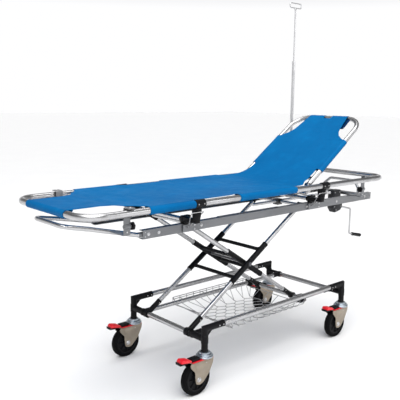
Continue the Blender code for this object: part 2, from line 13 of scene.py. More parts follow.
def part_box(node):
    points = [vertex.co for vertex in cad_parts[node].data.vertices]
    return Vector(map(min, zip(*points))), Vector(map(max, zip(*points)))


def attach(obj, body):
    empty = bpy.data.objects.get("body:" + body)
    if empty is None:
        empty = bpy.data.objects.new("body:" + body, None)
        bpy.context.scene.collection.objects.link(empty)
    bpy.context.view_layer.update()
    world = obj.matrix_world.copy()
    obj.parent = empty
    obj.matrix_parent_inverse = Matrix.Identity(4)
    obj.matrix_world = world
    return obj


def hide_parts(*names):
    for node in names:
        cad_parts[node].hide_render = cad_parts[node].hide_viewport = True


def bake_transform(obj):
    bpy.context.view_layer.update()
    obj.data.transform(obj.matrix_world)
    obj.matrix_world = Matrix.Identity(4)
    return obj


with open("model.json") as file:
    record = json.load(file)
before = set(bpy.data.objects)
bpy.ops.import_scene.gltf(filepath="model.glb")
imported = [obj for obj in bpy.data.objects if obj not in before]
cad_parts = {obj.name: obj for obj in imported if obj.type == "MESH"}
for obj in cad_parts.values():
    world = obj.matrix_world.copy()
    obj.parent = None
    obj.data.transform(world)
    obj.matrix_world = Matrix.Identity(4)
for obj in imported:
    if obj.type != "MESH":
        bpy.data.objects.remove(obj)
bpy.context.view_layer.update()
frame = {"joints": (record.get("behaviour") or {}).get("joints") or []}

SIDES = {"left": -1, "right": 1}
ENDS = {"foot": -1, "head": 1}
BOTH = (-1, 1)
GAP = 0.0003  # left under a part that stands on another
JOINTS = {j["name"]: j for j in frame["joints"]}


# ---- places, most from the frame, some given as numbers ----
def middle(node):
    low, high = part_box(node)
    return (low + high) / 2


def anchor(joint):
    return Vector(JOINTS[joint]["pos_m"])


POST_X = middle("head_cross_tube").x
CROSS_Z = middle("head_cross_tube").z
POST_Y = middle("side_tube_right").y
SIDE_Z = middle("side_tube_right").z
RAIL_Y = middle("lower_rail_right").y
CASTER_TOP = anchor("caster_swivel_head_right").z
WHEEL_R = anchor("wheel_spin_head_right").z
TRAIL = POST_X - anchor("wheel_spin_head_right").x

FOOT_PIVOT = anchor("scissor_lift")
CENTRE = anchor("scissor_cross")
TOP_SLIDE = 2 * CENTRE - FOOT_PIVOT
HEAD_SLIDE = Vector((TOP_SLIDE.x, 0, FOOT_PIVOT.z))
TOP_PIVOT = Vector((FOOT_PIVOT.x, 0, TOP_SLIDE.z))
LEG = (TOP_SLIDE - FOOT_PIVOT).length
OUTER_Y = middle("outer_leg_right").y
INNER_Y = 0.1215
PIVOT_Z = TOP_PIVOT.z

BEAM_LOW, BEAM_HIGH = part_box("side_beam_left")
BEAM_FOOT, BEAM_HEAD = BEAM_LOW.x, BEAM_HIGH.x
BEAM_Y = 0.19
BEAM_Z = (BEAM_LOW.z + BEAM_HIGH.z) / 2
BEAM_TOP = BEAM_HIGH.z
BEAM_HALF = BEAM_TOP - BEAM_Z

HINGE = anchor("backrest_fold")
RAIL_Z = HINGE.z
RAIL_TUBE_D = 0.028
STRETCHER_LOW, STRETCHER_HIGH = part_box("stretcher_frame")
STRETCHER_FOOT = STRETCHER_LOW.x + RAIL_TUBE_D / 2
STRETCHER_HEAD = STRETCHER_HIGH.x - RAIL_TUBE_D / 2
STRETCHER_Y = 0.278
BACK_ANGLE = math.radians(34.8)
BACK_LENGTH = 0.57
BACK_Y = 0.2255
BACK_D = 0.025
BACK_TURN = Matrix.Translation(HINGE) @ Matrix.Rotation(-BACK_ANGLE, 4, "Y")
CRADLE_X = (-0.563, 0.288)
LATCH_Y = 0.255
CRANK_FROM = anchor("crank_turn")
CRANK_AXIS = Vector(JOINTS["crank_turn"]["axis"]).normalized()
POLE_LOW, POLE_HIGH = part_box("iv_pole_upper")


# ---- materials ----
class Paint:
    """A Principled material and short ways to add procedural detail to it."""

    def __init__(self, name, slot, colour, roughness, metallic=0.0, **sockets):
        self.made = bpy.data.materials.new(name)
        self.made.use_nodes = True
        self.slot = slot
        self.tree = self.made.node_tree
        self.shader = self.tree.nodes["Principled BSDF"]
        self.put(self.shader, "Base Color", (*colour, 1))
        self.put(self.shader, "Roughness", roughness)
        self.put(self.shader, "Metallic", metallic)
        for socket, value in sockets.items():
            self.put(self.shader, socket.replace("_", " "), value)
        self.coordinates = self.tree.nodes.new("ShaderNodeTexCoord")
        self.height = None

    def put(self, node, socket, value):
        node.inputs[socket].default_value = value

    def link(self, out, node, socket):
        self.tree.links.new(out, node.inputs[socket])

    def place(self, stretch=(1, 1, 1), source="Object"):
        mapping = self.tree.nodes.new("ShaderNodeMapping")
        self.put(mapping, "Scale", stretch)
        self.link(self.coordinates.outputs[source], mapping, "Vector")
        return mapping.outputs["Vector"]

    def texture(self, kind, where, **sockets):
        node = self.tree.nodes.new(f"ShaderNodeTex{kind}")
        for socket, value in sockets.items():
            self.put(node, socket, value)
        self.link(self.place() if where is None else where, node, "Vector")
        return node

    def cloud(self, scale, detail=3.0, where=None, roughness=0.5):
        return self.texture("Noise", where, Scale=scale, Detail=detail, Roughness=roughness).outputs["Fac"]

    def wave(self, scale, axis, where):
        node = self.texture("Wave", where, Scale=scale)
        node.bands_direction = axis
        return node.outputs["Fac"]

    def grains(self, scale):
        return self.texture("Voronoi", None, Scale=scale).outputs["Distance"]

    def sum(self, first, second, operation="ADD"):
        node = self.tree.nodes.new("ShaderNodeMath")
        node.operation = operation
        for i, value in enumerate((first, second)):
            if isinstance(value, (int, float)):
                node.inputs[i].default_value = value
            else:
                self.tree.links.new(value, node.inputs[i])
        return node.outputs["Value"]

    def spread(self, value, low, high, at=(0.3, 0.7)):
        node = self.tree.nodes.new("ShaderNodeMapRange")
        for socket, number in zip(("From Min", "From Max", "To Min", "To Max"), (*at, low, high)):
            self.put(node, socket, number)
        self.link(value, node, "Value")
        return node.outputs["Result"]

    def rough(self, value, low, high, at=(0.3, 0.7)):
        self.link(self.spread(value, low, high, at), self.shader, "Roughness")

    def tint(self, value, other, at=(0.3, 0.7)):
        """Mixes the colour so far with another where the value is high."""
        mix = self.tree.nodes.new("ShaderNodeMix")
        mix.data_type = "RGBA"
        colour = self.shader.inputs["Base Color"]
        mix_a, mix_b = (s for s in mix.inputs if s.type == "RGBA")
        if colour.is_linked:
            self.tree.links.new(colour.links[0].from_socket, mix_a)
        else:
            mix_a.default_value = colour.default_value
        mix_b.default_value = (*other, 1)
        self.link(self.spread(value, 0, 1, at), mix, "Factor")
        result = [s for s in mix.outputs if s.type == "RGBA"][0]
        self.link(result, self.shader, "Base Color")

    def bump(self, value, strength, distance):
        node = self.tree.nodes.new("ShaderNodeBump")
        self.put(node, "Strength", strength)
        self.put(node, "Distance", distance)
        self.link(value, node, "Height")
        if self.height is not None:
            self.link(self.height, node, "Normal")
        self.height = node.outputs["Normal"]
        self.link(self.height, self.shader, "Normal")


def metal(name, colour, dark, roughness, streaks=900.0, slot=None):
    """Drawn metal: fine streaks along each tube, cloudy handling marks and small scratches."""
    made = Paint(name, slot or name, colour, roughness[0], 1.0)
    along = made.place((streaks, 14, 1), "UV")
    drawn = made.cloud(1.0, 2, along)
    marks = made.cloud(9, 6, roughness=0.62)
    made.tint(marks, dark, (0.42, 0.78))
    made.tint(drawn, tuple(c * 0.82 for c in colour), (0.5, 0.8))
    made.rough(made.sum(made.sum(drawn, 0.45, "MULTIPLY"), made.sum(marks, 0.55, "MULTIPLY")), *roughness)
    scratches = made.cloud(260, 2, made.place((1, 0.12, 1)))
    made.bump(made.sum(drawn, scratches), 0.05, 0.00002)
    return made


def moulded(name, colour, worn, roughness, grain=900.0, depth=0.00008, slot=None, **sockets):
    """Moulded plastic: a fine spark grain, and paler scuffs."""
    made = Paint(name, slot or name, colour, roughness[0], 0.0, **sockets)
    scuffs = made.cloud(34, 8, roughness=0.68)
    made.tint(scuffs, worn, (0.52, 0.82))
    made.rough(made.cloud(55, 5), *roughness)
    made.bump(made.grains(grain), 0.3, depth)
    return made


def canvas(name, colour, light, deep):
    """Coated canvas: a plain weave under a satin coat, slow colour drift and soft creases."""
    made = Paint(name, "blue_canvas", colour, 0.55, 0.0, Specular_IOR_Level=0.05)
    drift = made.cloud(3.2, 4, roughness=0.6)
    made.tint(drift, deep, (0.36, 0.74))
    made.tint(made.cloud(11, 5, roughness=0.65), light, (0.5, 0.85))
    warp, weft = (made.wave(130, axis, made.place((1.2, 1.2, 1.2))) for axis in "XY")
    weave = made.sum(warp, weft, "MULTIPLY")
    made.tint(weave, deep, (0.55, 1.6))
    made.rough(made.sum(made.cloud(24, 4), made.sum(weave, 0.35, "MULTIPLY")), 0.48, 0.68, (0.3, 0.95))
    made.bump(made.cloud(7, 3, made.place((1, 0.45, 1)), 0.55), 0.25, 0.006)
    made.bump(weave, 0.3, 0.00022)
    return made


ALUMINIUM = metal("polished_aluminium", (0.52, 0.52, 0.53), (0.36, 0.36, 0.36), (0.2, 0.34))
CHROME = metal("chrome_wire", (0.6, 0.6, 0.61), (0.42, 0.42, 0.43), (0.22, 0.34), 500)
WIRE = metal("basket_wire", (0.42, 0.42, 0.43), (0.3, 0.3, 0.3), (0.28, 0.4), 500, "chrome_wire")
STEEL = metal("bright_steel", (0.6, 0.6, 0.61), (0.4, 0.39, 0.38), (0.24, 0.42), 700)
GUNMETAL = metal("dark_steel", (0.13, 0.13, 0.14), (0.08, 0.08, 0.08), (0.34, 0.5), 500, "bright_steel")
NICKEL = metal("nickel_plate", (0.36, 0.31, 0.25), (0.24, 0.2, 0.155), (0.28, 0.44), 300)
ZINC = metal("zinc_cup", (0.42, 0.47, 0.52), (0.28, 0.31, 0.35), (0.28, 0.44), 300, "nickel_plate")
BLACK = moulded("black_plastic", (0.003, 0.003, 0.004), (0.009, 0.009, 0.01), (0.42, 0.58),
                Specular_IOR_Level=0.16)
CASTING = moulded("dark_casting", (0.02, 0.021, 0.023), (0.045, 0.045, 0.048), (0.42, 0.6), 700,
                  slot="anodised_grey", Specular_IOR_Level=0.25)
RED = moulded("red_plastic", (0.68, 0.006, 0.018), (0.8, 0.06, 0.06), (0.26, 0.44))
RUBBER = moulded("black_rubber", (0.003, 0.003, 0.0035), (0.01, 0.01, 0.01), (0.6, 0.8), 500, 0.0002,
                 Specular_IOR_Level=0.07)
BLUE = canvas("blue_canvas", (0.0, 0.118, 0.318), (0.0, 0.14, 0.365), (0.0, 0.092, 0.262))
NAVY = canvas("blue_canvas_hem", (0.0, 0.022, 0.085), (0.0, 0.034, 0.115), (0.0, 0.014, 0.055))

GREY = Paint("anodised_grey", "anodised_grey", (0.2, 0.205, 0.215), 0.42, 0.55, Specular_IOR_Level=0.5)
GREY.tint(GREY.cloud(14, 6, GREY.place((0.25, 1, 1)), 0.6), (0.155, 0.16, 0.17), (0.4, 0.75))
GREY.tint(GREY.cloud(60, 8, roughness=0.7), (0.27, 0.27, 0.28), (0.6, 0.85))
GREY.rough(GREY.cloud(240, 2, GREY.place((0.06, 1, 1))), 0.32, 0.52)
GREY.bump(GREY.cloud(420, 2, GREY.place((0.05, 1, 1))), 0.2, 0.00004)


# ---- shapes, each a bmesh in the frame's own axes ----
def skin(rings, closed=False):
    """A closed surface through rings of points, with UVs in metres round it and along it."""
    shape = bmesh.new()
    layer = shape.loops.layers.uv.new("UVMap")
    rows = [[shape.verts.new(p) for p in ring] for ring in rings]
    sides, along = len(rows[0]), 0.0
    for k in range(len(rows) if closed else len(rows) - 1):
        low, high = rows[k], rows[(k + 1) % len(rows)]
        step = (low[0].co - high[0].co).length
        around = 0.0
        for i in range(sides):
            j = (i + 1) % sides
            width = (low[i].co - low[j].co).length
            face = shape.faces.new((low[i], low[j], high[j], high[i]))
            corners = ((0, 0), (width, 0), (width, step), (0, step))
            for loop, (u, v) in zip(face.loops, corners):
                loop[layer].uv = (around + u, along + v)
            around += width
        along += step
    if not closed:
        shape.faces.new(list(reversed(rows[0])))
        shape.faces.new(rows[-1])
    bmesh.ops.recalc_face_normals(shape, faces=shape.faces)
    return shape


def ring_at(centre, right, up, radius, sides, lobes=None):
    points = []
    for k in range(sides):
        angle = 2 * math.pi * k / sides
        reach = radius if lobes is None else radius * (1 + lobes[1] * math.cos(lobes[0] * angle))
        points.append(centre + (right * math.cos(angle) + up * math.sin(angle)) * reach)
    return points


def turned(start, way, profile, sides=32, closed=False, lobes=None):
    """A lathed solid: profile gives a distance along the way and a radius, for each ring."""
    start, way = Vector(start), Vector(way).normalized()
    right = way.orthogonal().normalized()
    up = way.cross(right)
    return skin([ring_at(start + way * h, right, up, r, sides, lobes) for h, r in profile], closed)


def rod(start, end, diameter, sides=32, edge=0.0006):
    start, end = Vector(start), Vector(end)
    long, r = (end - start).length, diameter / 2
    return turned(start, end - start, [(0, r - edge), (edge, r), (long - edge, r), (long, r - edge)], sides)


def hollow(start, end, outer, inner, sides=32, edge=0.0005):
    start, end = Vector(start), Vector(end)
    long, a, b = (end - start).length, outer / 2, inner / 2
    profile = [(0, b), (0, a - edge), (edge, a), (long - edge, a), (long, a - edge), (long, b)]
    return turned(start, end - start, profile, sides, closed=True)


def lipped(start, end, diameter, lip=0.001, width=0.006, sides=32):
    """A moulded sleeve with a raised lip at each end."""
    start, end = Vector(start), Vector(end)
    long, r = (end - start).length, diameter / 2
    profile = [(0, r - 0.0012), (0.0008, r + lip), (width - 0.001, r + lip), (width, r)]
    profile += [(long - h, q) for h, q in reversed(profile)]
    return turned(start, end - start, profile, sides)


def sweep(path, radius, sides=16, closed=False):
    path = [Vector(p) for p in path]
    count = len(path)
    rings, right = [], None
    for i, point in enumerate(path):
        before = path[i - 1] if closed or i else point
        after = path[(i + 1) % count] if closed or i < count - 1 else point
        way = (after - before).normalized()
        right = way.orthogonal() if right is None else right - way * right.dot(way)
        right.normalize()
        rings.append(ring_at(point, right, way.cross(right), radius, sides))
    return skin(rings, closed)


def rounded(corners, radius, closed=False, steps=8):
    """The corner points with each bend replaced by an arc."""
    corners = [Vector(c) for c in corners]
    path = []
    for i, corner in enumerate(corners):
        if not closed and i in (0, len(corners) - 1):
            path.append(corner)
            continue
        back = (corners[i - 1] - corner).normalized()
        ahead = (corners[(i + 1) % len(corners)] - corner).normalized()
        if back.dot(ahead) < -0.9999:
            path.append(corner)
            continue
        half = back.angle(ahead) / 2
        centre = corner + (back + ahead).normalized() * radius / math.sin(half)
        first = corner + back * radius / math.tan(half) - centre
        last = corner + ahead * radius / math.tan(half) - centre
        turn = first.angle(last)
        for k in range(steps + 1):
            t = k / steps
            a, b = math.sin((1 - t) * turn) / math.sin(turn), math.sin(t * turn) / math.sin(turn)
            path.append(centre + first * a + last * b)
    return path


def block(low, high, edge=0.001, steps=2):
    low, high = Vector(low), Vector(high)
    shape = bmesh.new()
    bmesh.ops.create_cube(shape, size=1)
    size = [abs(b - a) for a, b in zip(low, high)]
    shape.transform(Matrix.Translation((low + high) / 2) @ Matrix.Diagonal((*size, 1)))
    bmesh.ops.bevel(shape, geom=shape.edges[:], offset=edge, segments=steps, profile=0.5, affect="EDGES")
    bmesh.ops.recalc_face_normals(shape, faces=shape.faces)
    return shape


def pad(x, half, y_from, y_to, z_from, z_to, edge=0.001, steps=2):
    """A block that reaches half each way from x."""
    return block((x - half, y_from, z_from), (x + half, y_to, z_to), edge, steps)


def slab(outline, thickness, place, edge=0.0006, steps=2):
    """A flat outline in local X and Y, thickened about local Z, with rounded rims, moved by a matrix."""
    shape = bmesh.new()
    face = shape.faces.new([shape.verts.new((x, y, -thickness / 2)) for x, y in outline])
    made = bmesh.ops.extrude_face_region(shape, geom=[face])
    moved = [g for g in made["geom"] if isinstance(g, bmesh.types.BMVert)]
    bmesh.ops.translate(shape, verts=moved, vec=(0, 0, thickness))
    rims = [e for e in shape.edges if abs(e.verts[0].co.z - e.verts[1].co.z) < 1e-9]
    bmesh.ops.bevel(shape, geom=rims, offset=edge, segments=steps, profile=0.5, affect="EDGES")
    bmesh.ops.recalc_face_normals(shape, faces=shape.faces)
    shape.transform(place)
    return shape


def soft_corners(outline, radius, steps=4):
    points = rounded([(x, y, 0) for x, y in outline], radius, closed=True, steps=steps)
    return [(p.x, p.y) for p in points]


def upright(x=0.0, y=0.0, z=0.0):
    """Local X to world X, local Y to world Z."""
    return Matrix.Translation((x, y, z)) @ Matrix.Rotation(math.radians(90), 4, "X")


def facing_x(x, z=0.0):
    """Local X to world Y, local Y to world Z."""
    return Matrix(((0, 0, 1, x), (1, 0, 0, 0), (0, 1, 0, z), (0, 0, 0, 1)))


def symmetric(half):
    """A lathe profile from pairs of a radius and a half width."""
    return [(h, r) for r, h in half] + [(-h, r) for r, h in reversed(half)]


def dome(centre, way, radius, height):
    """A button head: a low rounded cap on a flat face."""
    steps = [(math.sin(a), math.cos(a)) for a in (0.0, 0.45, 0.85, 1.2, 1.45)]
    profile = [(-0.0004, radius)] + [(height * s, radius * c) for s, c in steps]
    return turned(centre, way, profile, 16)


def hexagon(centre, way, radius, height):
    return turned(centre, way, [(0, radius), (height * 0.8, radius), (height, radius * 0.86)], 6)


def along_y(x, z, half, diameter, sides=32):
    """A rod across the trolley that reaches half each way from its middle plane."""
    return rod((x, -half, z), (x, half, z), diameter, sides)


def along_x(y, z, half, diameter, sides=32):
    return rod((-half, y, z), (half, y, z), diameter, sides)


def shifted(shapes, move):
    for shape in shapes:
        shape.transform(move if isinstance(move, Matrix) else Matrix.Translation(move))
    return shapes


def add(name, data):
    made = bpy.data.objects.new(name, data)
    bpy.context.scene.collection.objects.link(made)
    return made


def piece(name, shapes, paint, body, nodes=(), sharp=32):
    """One object of these shapes, in a material, that rides on a body and stands for these CAD nodes."""
    whole = bmesh.new()
    for shape in shapes:
        part = bpy.data.meshes.new("part")
        shape.to_mesh(part)
        shape.free()
        whole.from_mesh(part)
        bpy.data.meshes.remove(part)
    mesh = bpy.data.meshes.new(name)
    whole.to_mesh(mesh)
    whole.free()
    made = add(name, mesh)
    mesh.materials.append(paint.made)
    mesh.shade_smooth()
    mesh.set_sharp_from_angle(angle=math.radians(sharp))
    if body:
        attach(made, body)
    if nodes:
        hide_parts(*nodes)
    return made


def look(node, shapes, paint, body, sharp=32):
    """The piece that stands for the whole of one CAD node."""
    return piece(f"{node}_look", shapes, paint, body, [node], sharp)


# ---- base ----
def base():
    for side, sy in SIDES.items():
        look(f"side_tube_{side}", [along_x(sy * POST_Y, SIDE_Z, 0.4795, 0.025, 40)], ALUMINIUM, "base")
        look(f"lower_rail_{side}", [along_x(sy * RAIL_Y, CROSS_Z, 0.489, 0.022, 40)], ALUMINIUM, "base")
    for end, sx in ENDS.items():
        look(f"{end}_cross_tube", [along_y(sx * POST_X, CROSS_Z, 0.2355, 0.025, 40)], ALUMINIUM, "base")
        for side in SIDES:
            corner_post(end, side)


def corner_post(end, side):
    """A moulded upright with a mitred bend to the side tube, and tees for the cross tube and lower rail."""
    sx, sy = ENDS[end], SIDES[side]
    x, y, rail_y, radius, lip = sx * POST_X, sy * POST_Y, sy * RAIL_Y, 0.0148, 0.0164
    up, foot, low = (0, 0, 1), (x, y, CASTER_TOP), CROSS_Z - CASTER_TOP
    bend = ([], [], [])
    for k in range(40):
        angle = 2 * math.pi * k / 40
        wide, rise = y + radius * math.cos(angle), radius * math.sin(angle)
        bend[0].append(Vector((sx * 0.3945, wide, SIDE_Z + rise)))
        bend[1].append(Vector((x + sx * rise, wide, SIDE_Z + rise)))
        bend[2].append(Vector((x + sx * rise, wide, CASTER_TOP + GAP)))
    tee = [(low - 0.02, radius), (low - 0.018, lip), (low + 0.018, lip), (low + 0.02, radius)]
    boss = [(0, 0.01), (0.002, 0.0125), (0.028, 0.0125), (0.03, 0.01)]
    collar = [(0, 0.014), (0.001, 0.0154), (0.005, 0.0154), (0.006, radius)]
    gusset = upright(x - sx * 0.01, y, SIDE_Z - 0.013)
    shapes = [
        skin(bend),
        turned(foot, up, [(GAP, 0.015), (0.001, 0.0162), (0.006, 0.0162), (0.0072, radius)]),
        turned(foot, up, tee),
        turned((sx * 0.394, y, SIDE_Z), (sx, 0, 0), collar),
        lipped((x, y, CROSS_Z), (x, sy * 0.17, CROSS_Z), 0.0295, 0.001, 0.007),
        lipped((x, rail_y, CROSS_Z), (sx * 0.455, rail_y, CROSS_Z), 0.0262, 0.0007, 0.005),
        turned((x, rail_y, CROSS_Z - 0.015), up, boss),
        slab([(0, 0), (sx * -0.034, 0), (0, -0.03)], 0.006, gusset, 0.0012),
    ]
    look(f"corner_post_{end}_{side}", shapes, BLACK, "base")
    rivets = []
    for at in (0.406, 0.43):
        for way in (sy, -sy):
            rivets.append(dome((sx * at, y + way * 0.0149, SIDE_Z), (0, way, 0), 0.0031, 0.0014))
    for at in (0.186, 0.214):
        rivets.append(dome((x - sx * 0.0147, sy * at, CROSS_Z + 0.002), (-sx, 0, 0), 0.0026, 0.0012))
    piece(f"corner_rivets_{end}_{side}", rivets, STEEL, "base")


def basket():
    """Welded wires: a double rim on each side, U wires waved into a honeycomb floor, and end wires."""
    thick, thin = 0.00195, 0.00155
    low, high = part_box("wire_basket")
    rim, band, knee, bottom = high.z - thick, high.z - 0.0125, 0.2145, low.z + thin
    out, half = high.y - thick - thin, 0.1375
    foot, head = low.x + thick, high.x - thick
    knee_foot, knee_head = -0.2735, 0.248
    floor_foot, floor_head = -0.225, 0.193
    frame_wires, mesh_wires = [], []
    for sy in BOTH:
        y = sy * out
        loop = [(foot, y, rim), (head, y, rim), (head, y, band), (foot, y, band)]
        frame_wires.append(sweep(rounded(loop, 0.005, True, 4), thick, 10, True))
        for x in (-0.258, -0.106, 0.109):
            hook = [(x, y, band), (x, sy * 0.2035, CROSS_Z + 0.0135), (x, sy * 0.184, CROSS_Z + 0.0137),
                    (x, sy * 0.1735, CROSS_Z + 0.0128)]
            frame_wires.append(sweep(rounded(hook, 0.004, steps=3), thick, 8))
    for top, turn in ((foot, knee_foot), (head, knee_head)):
        end = [(top, -out, rim), (turn, -out, knee), (turn, out, knee), (top, out, rim)]
        frame_wires.append(sweep(rounded(end, 0.012, steps=5), thick, 10))
    count, cells = 13, 4
    wave, cell = (floor_head - floor_foot) / (count - 1) / 2 - thin * 0.6, 2 * half / cells
    for i in range(count):
        at = i / (count - 1)
        spans = ((foot, head), (knee_foot, knee_head), (floor_foot, floor_head))
        top, turn, under = (a + at * (b - a) for a, b in spans)
        way = 1 if i % 2 else -1
        side = [(top, -out, rim), (top, -out, knee + 0.012), (turn, -out + 0.003, knee - 0.004)]
        floor = []
        for k in range(cells):
            start = -half + k * cell
            for part, sign in ((0.12, way), (0.38, way), (0.62, -way), (0.88, -way)):
                x = min(max(under + sign * wave, floor_foot), floor_head)
                floor.append((x, start + part * cell, bottom + thin * 0.4 * (1 + sign)))
        path = rounded(side + floor + [(x, -y, z) for x, y, z in reversed(side)], 0.009, steps=4)
        mesh_wires.append(sweep(path, thin, 8))
    for k in range(cells + 2):
        y = -half - cell / 2 + k * cell
        y_under = max(-half + 0.01, min(half - 0.01, y))
        for turn, under in ((knee_foot, floor_foot), (knee_head, floor_head)):
            mesh_wires.append(sweep([(turn, y, knee), (under, y_under, bottom)], thin, 8))
    for under in (floor_foot, floor_head):
        mesh_wires.append(sweep([(under, -half + 0.008, bottom), (under, half - 0.008, bottom)], thin, 8))
    piece("basket_frame_wires", frame_wires, WIRE, "base", ["wire_basket"])
    piece("basket_mesh_wires", mesh_wires, WIRE, "base")


# ---- casters ----
def caster(end, side):
    """A fork with its swivel cup and brake plate, the pedal and the wheel, drawn about the swivel."""
    tag = f"{end}_{side}"
    here = Vector((ENDS[end] * POST_X, SIDES[side] * POST_Y, 0))
    axle = here + Vector((-TRAIL, 0, WHEEL_R))
    body, pedal, wheel = f"caster_{tag}", f"pedal_{tag}", f"wheel_{tag}"
    cheek = [
        (-0.1, 0.1568), (0.034, 0.1568), (0.0305, 0.135), (0.008, 0.091), (-0.026, 0.057),
        (-0.046, 0.0505), (-0.066, 0.057), (-0.071, 0.078), (-0.074, 0.113), (-0.097, 0.138),
    ]
    swage = [(-0.078, 0.15), (0.022, 0.15), (0.018, 0.134), (-0.04, 0.1), (-0.066, 0.118)]
    fork = [block((-0.088, -0.0243, 0.153), (0.033, 0.0243, 0.1566), 0.0012)]
    bolts = []
    for sy in BOTH:
        out = (0, sy, 0)
        fork.append(slab(soft_corners(cheek, 0.0075), 0.0036, upright(y=sy * 0.0225), 0.0011, 3))
        fork.append(slab(soft_corners(swage, 0.006), 0.0016, upright(y=sy * 0.0246), 0.0006))
        washer = [(0, 0.0108), (0.001, 0.0112), (0.0018, 0.0104)]
        bolts.append(turned((-TRAIL, sy * 0.0243, WHEEL_R), out, washer, 24))
        bolts.append(hexagon((-TRAIL, sy * 0.026, WHEEL_R), out, 0.0088, 0.0042))
        bolts.append(dome((-0.01, sy * 0.0244, 0.143), out, 0.0034, 0.0016))
    bolts.append(along_y(-TRAIL, WHEEL_R, 0.0245, 0.0115, 20))
    cup = [
        (0.1606, 0.034), (0.1608, 0.0372), (0.1618, 0.0384), (0.1668, 0.0384), (0.1684, 0.0372),
        (0.1692, 0.034), (0.17, 0.033),
        (0.1742, 0.033), (0.1756, 0.0316), (0.1762, 0.027), (0.1776, 0.025), (0.1832, 0.024),
        (0.1839, 0.0225),
    ]
    angles = [math.radians(d) for d in range(-48, 49, 12)]
    nose = [(0.0388 * math.cos(a), 0.0388 * math.sin(a)) for a in angles]
    strip = [(-0.087, -0.0236)] + nose + [(-0.087, 0.0236)]
    trim = slab(strip, 0.002, Matrix.Translation((0, 0, 0.1583)), 0.0006)
    look(f"caster_fork_{tag}", shifted(fork, here), NICKEL, body)
    piece(f"caster_cup_{tag}", shifted([turned((0, 0, 0), (0, 0, 1), cup, 40)], here), ZINC, body)
    piece(f"caster_brake_plate_{tag}", shifted([trim], here), RED, body)
    lever = block((-0.0866, -0.0165, 0.1598), (-0.04, 0.0165, 0.1712), 0.0016)
    piece(f"caster_lever_{tag}", shifted([lever], here), BLACK, body)
    piece(f"caster_bolts_{tag}", shifted(bolts, here), STEEL, body)

    top = [
        (-0.0885, 0.1612), (-0.0885, 0.169), (-0.099, 0.175), (-0.135, 0.1838), (-0.142, 0.1795),
        (-0.1465, 0.1702), (-0.118, 0.1655), (-0.104, 0.1628),
    ]
    tread = [slab(soft_corners(top, 0.0016, 3), 0.036, upright(), 0.0016, 3)]
    for k in range(4):
        x, z = -0.108 - k * 0.0075, 0.1774 + k * 0.0018
        tread.append(pad(x, 0.0012, -0.0145, 0.0145, z - 0.001, z + 0.0009, 0.0005))
    look(f"brake_pedal_{tag}", shifted(tread, here), RED, pedal)
    tab = [
        (-0.096, 0.1598), (-0.118, 0.1622), (-0.1458, 0.1676), (-0.148, 0.1722), (-0.1524, 0.1732),
        (-0.1512, 0.162), (-0.122, 0.1594),
    ]
    piece(f"brake_tab_{tag}", shifted([slab(tab, 0.032, upright(), 0.001)], here), BLACK, pedal)

    tyre = [
        (0.0565, 0.0135), (0.06, 0.0152), (0.066, 0.0165), (0.0695, 0.0158), (0.0722, 0.0138),
        (0.074, 0.0108), (0.0748, 0.0072), (0.0738, 0.0066), (0.0738, 0.0054), (0.075, 0.0048),
    ]
    profile = symmetric(tyre) + [(-0.011, 0.0545), (0.011, 0.0545)]
    rubber = turned(axle, (0, 1, 0), profile, 72, True)
    piece(f"wheel_tyre_{tag}", [rubber], RUBBER, wheel, [f"caster_wheel_{tag}"])
    hub = [
        (0.0066, 0.0185), (0.016, 0.0185), (0.0185, 0.0165), (0.0205, 0.008), (0.047, 0.0068),
        (0.05, 0.0135), (0.0562, 0.0138),
    ]
    shapes = [turned(axle, (0, 1, 0), symmetric(hub), 60, True)]
    for k in range(8):
        rib = block((0.017, -0.0128, -0.0018), (0.0505, 0.0128, 0.0018), 0.0006)
        rib.transform(Matrix.Translation(axle) @ Matrix.Rotation(math.radians(45 * k), 4, "Y"))
        shapes.append(rib)
    piece(f"wheel_hub_{tag}", shapes, BLACK, wheel)


# ---- scissor lift ----
def leg(name, bottom, top, y, bores, body, node):
    """A tube with a black sleeve about its middle, a ferrule and a pivot eye at each end."""
    low, high = Vector((bottom.x, y, bottom.z)), Vector((top.x, y, top.z))
    way = (high - low).normalized()
    start, end = (0.32, 0.603) if bottom.x < top.x else (LEG - 0.603, LEG - 0.32)
    piece(f"{name}_tube", [rod(low + way * 0.03, high - way * 0.03, 0.022, 40)], ALUMINIUM, body, [node])
    black = [lipped(low + way * start, low + way * end, 0.0272, 0.0006, 0.006)]
    rings = ((0, -0.0125, 0.0125), (0.0016, -0.0085, -0.0124), (0.0016, 0.0085, 0.0124))
    for pivot, inward, bore, reach in ((low, way, bores[0], 0.092), (high, -way, bores[1], 0.04)):
        black.append(lipped(pivot + inward * 0.012, pivot + inward * reach, 0.025, 0.0008, 0.006))
        outer, inner = bore + 0.011, bore + 0.0012
        for wide, y_from, y_to in rings:
            ends = [(pivot.x, y + at, pivot.z) for at in (y_from, y_to)]
            black.append(hollow(*ends, outer + wide, inner))
    piece(f"{name}_fittings", black, BLACK, body)
    rivet = low + way * 0.078
    rivets = [dome(rivet + Vector((0, sy * 0.0124, 0)), (0, sy, 0), 0.0026, 0.0012) for sy in BOTH]
    piece(f"{name}_rivets", rivets, STEEL, body)


def bar(name, along, bottom, top, half, body, nodes=()):
    """A black brace across the legs, with a weld collar at each end."""
    at = bottom + (top - bottom).normalized() * along
    shapes = [along_y(at.x, at.z, half, 0.018)]
    for sy in BOTH:
        collar = [(0, 0.0112), (0.004, 0.0106), (0.0075, 0.0092)]
        shapes.append(turned((at.x, sy * half, at.z), (0, -sy, 0), collar, 24))
    piece(name, shapes, BLACK, body, nodes)


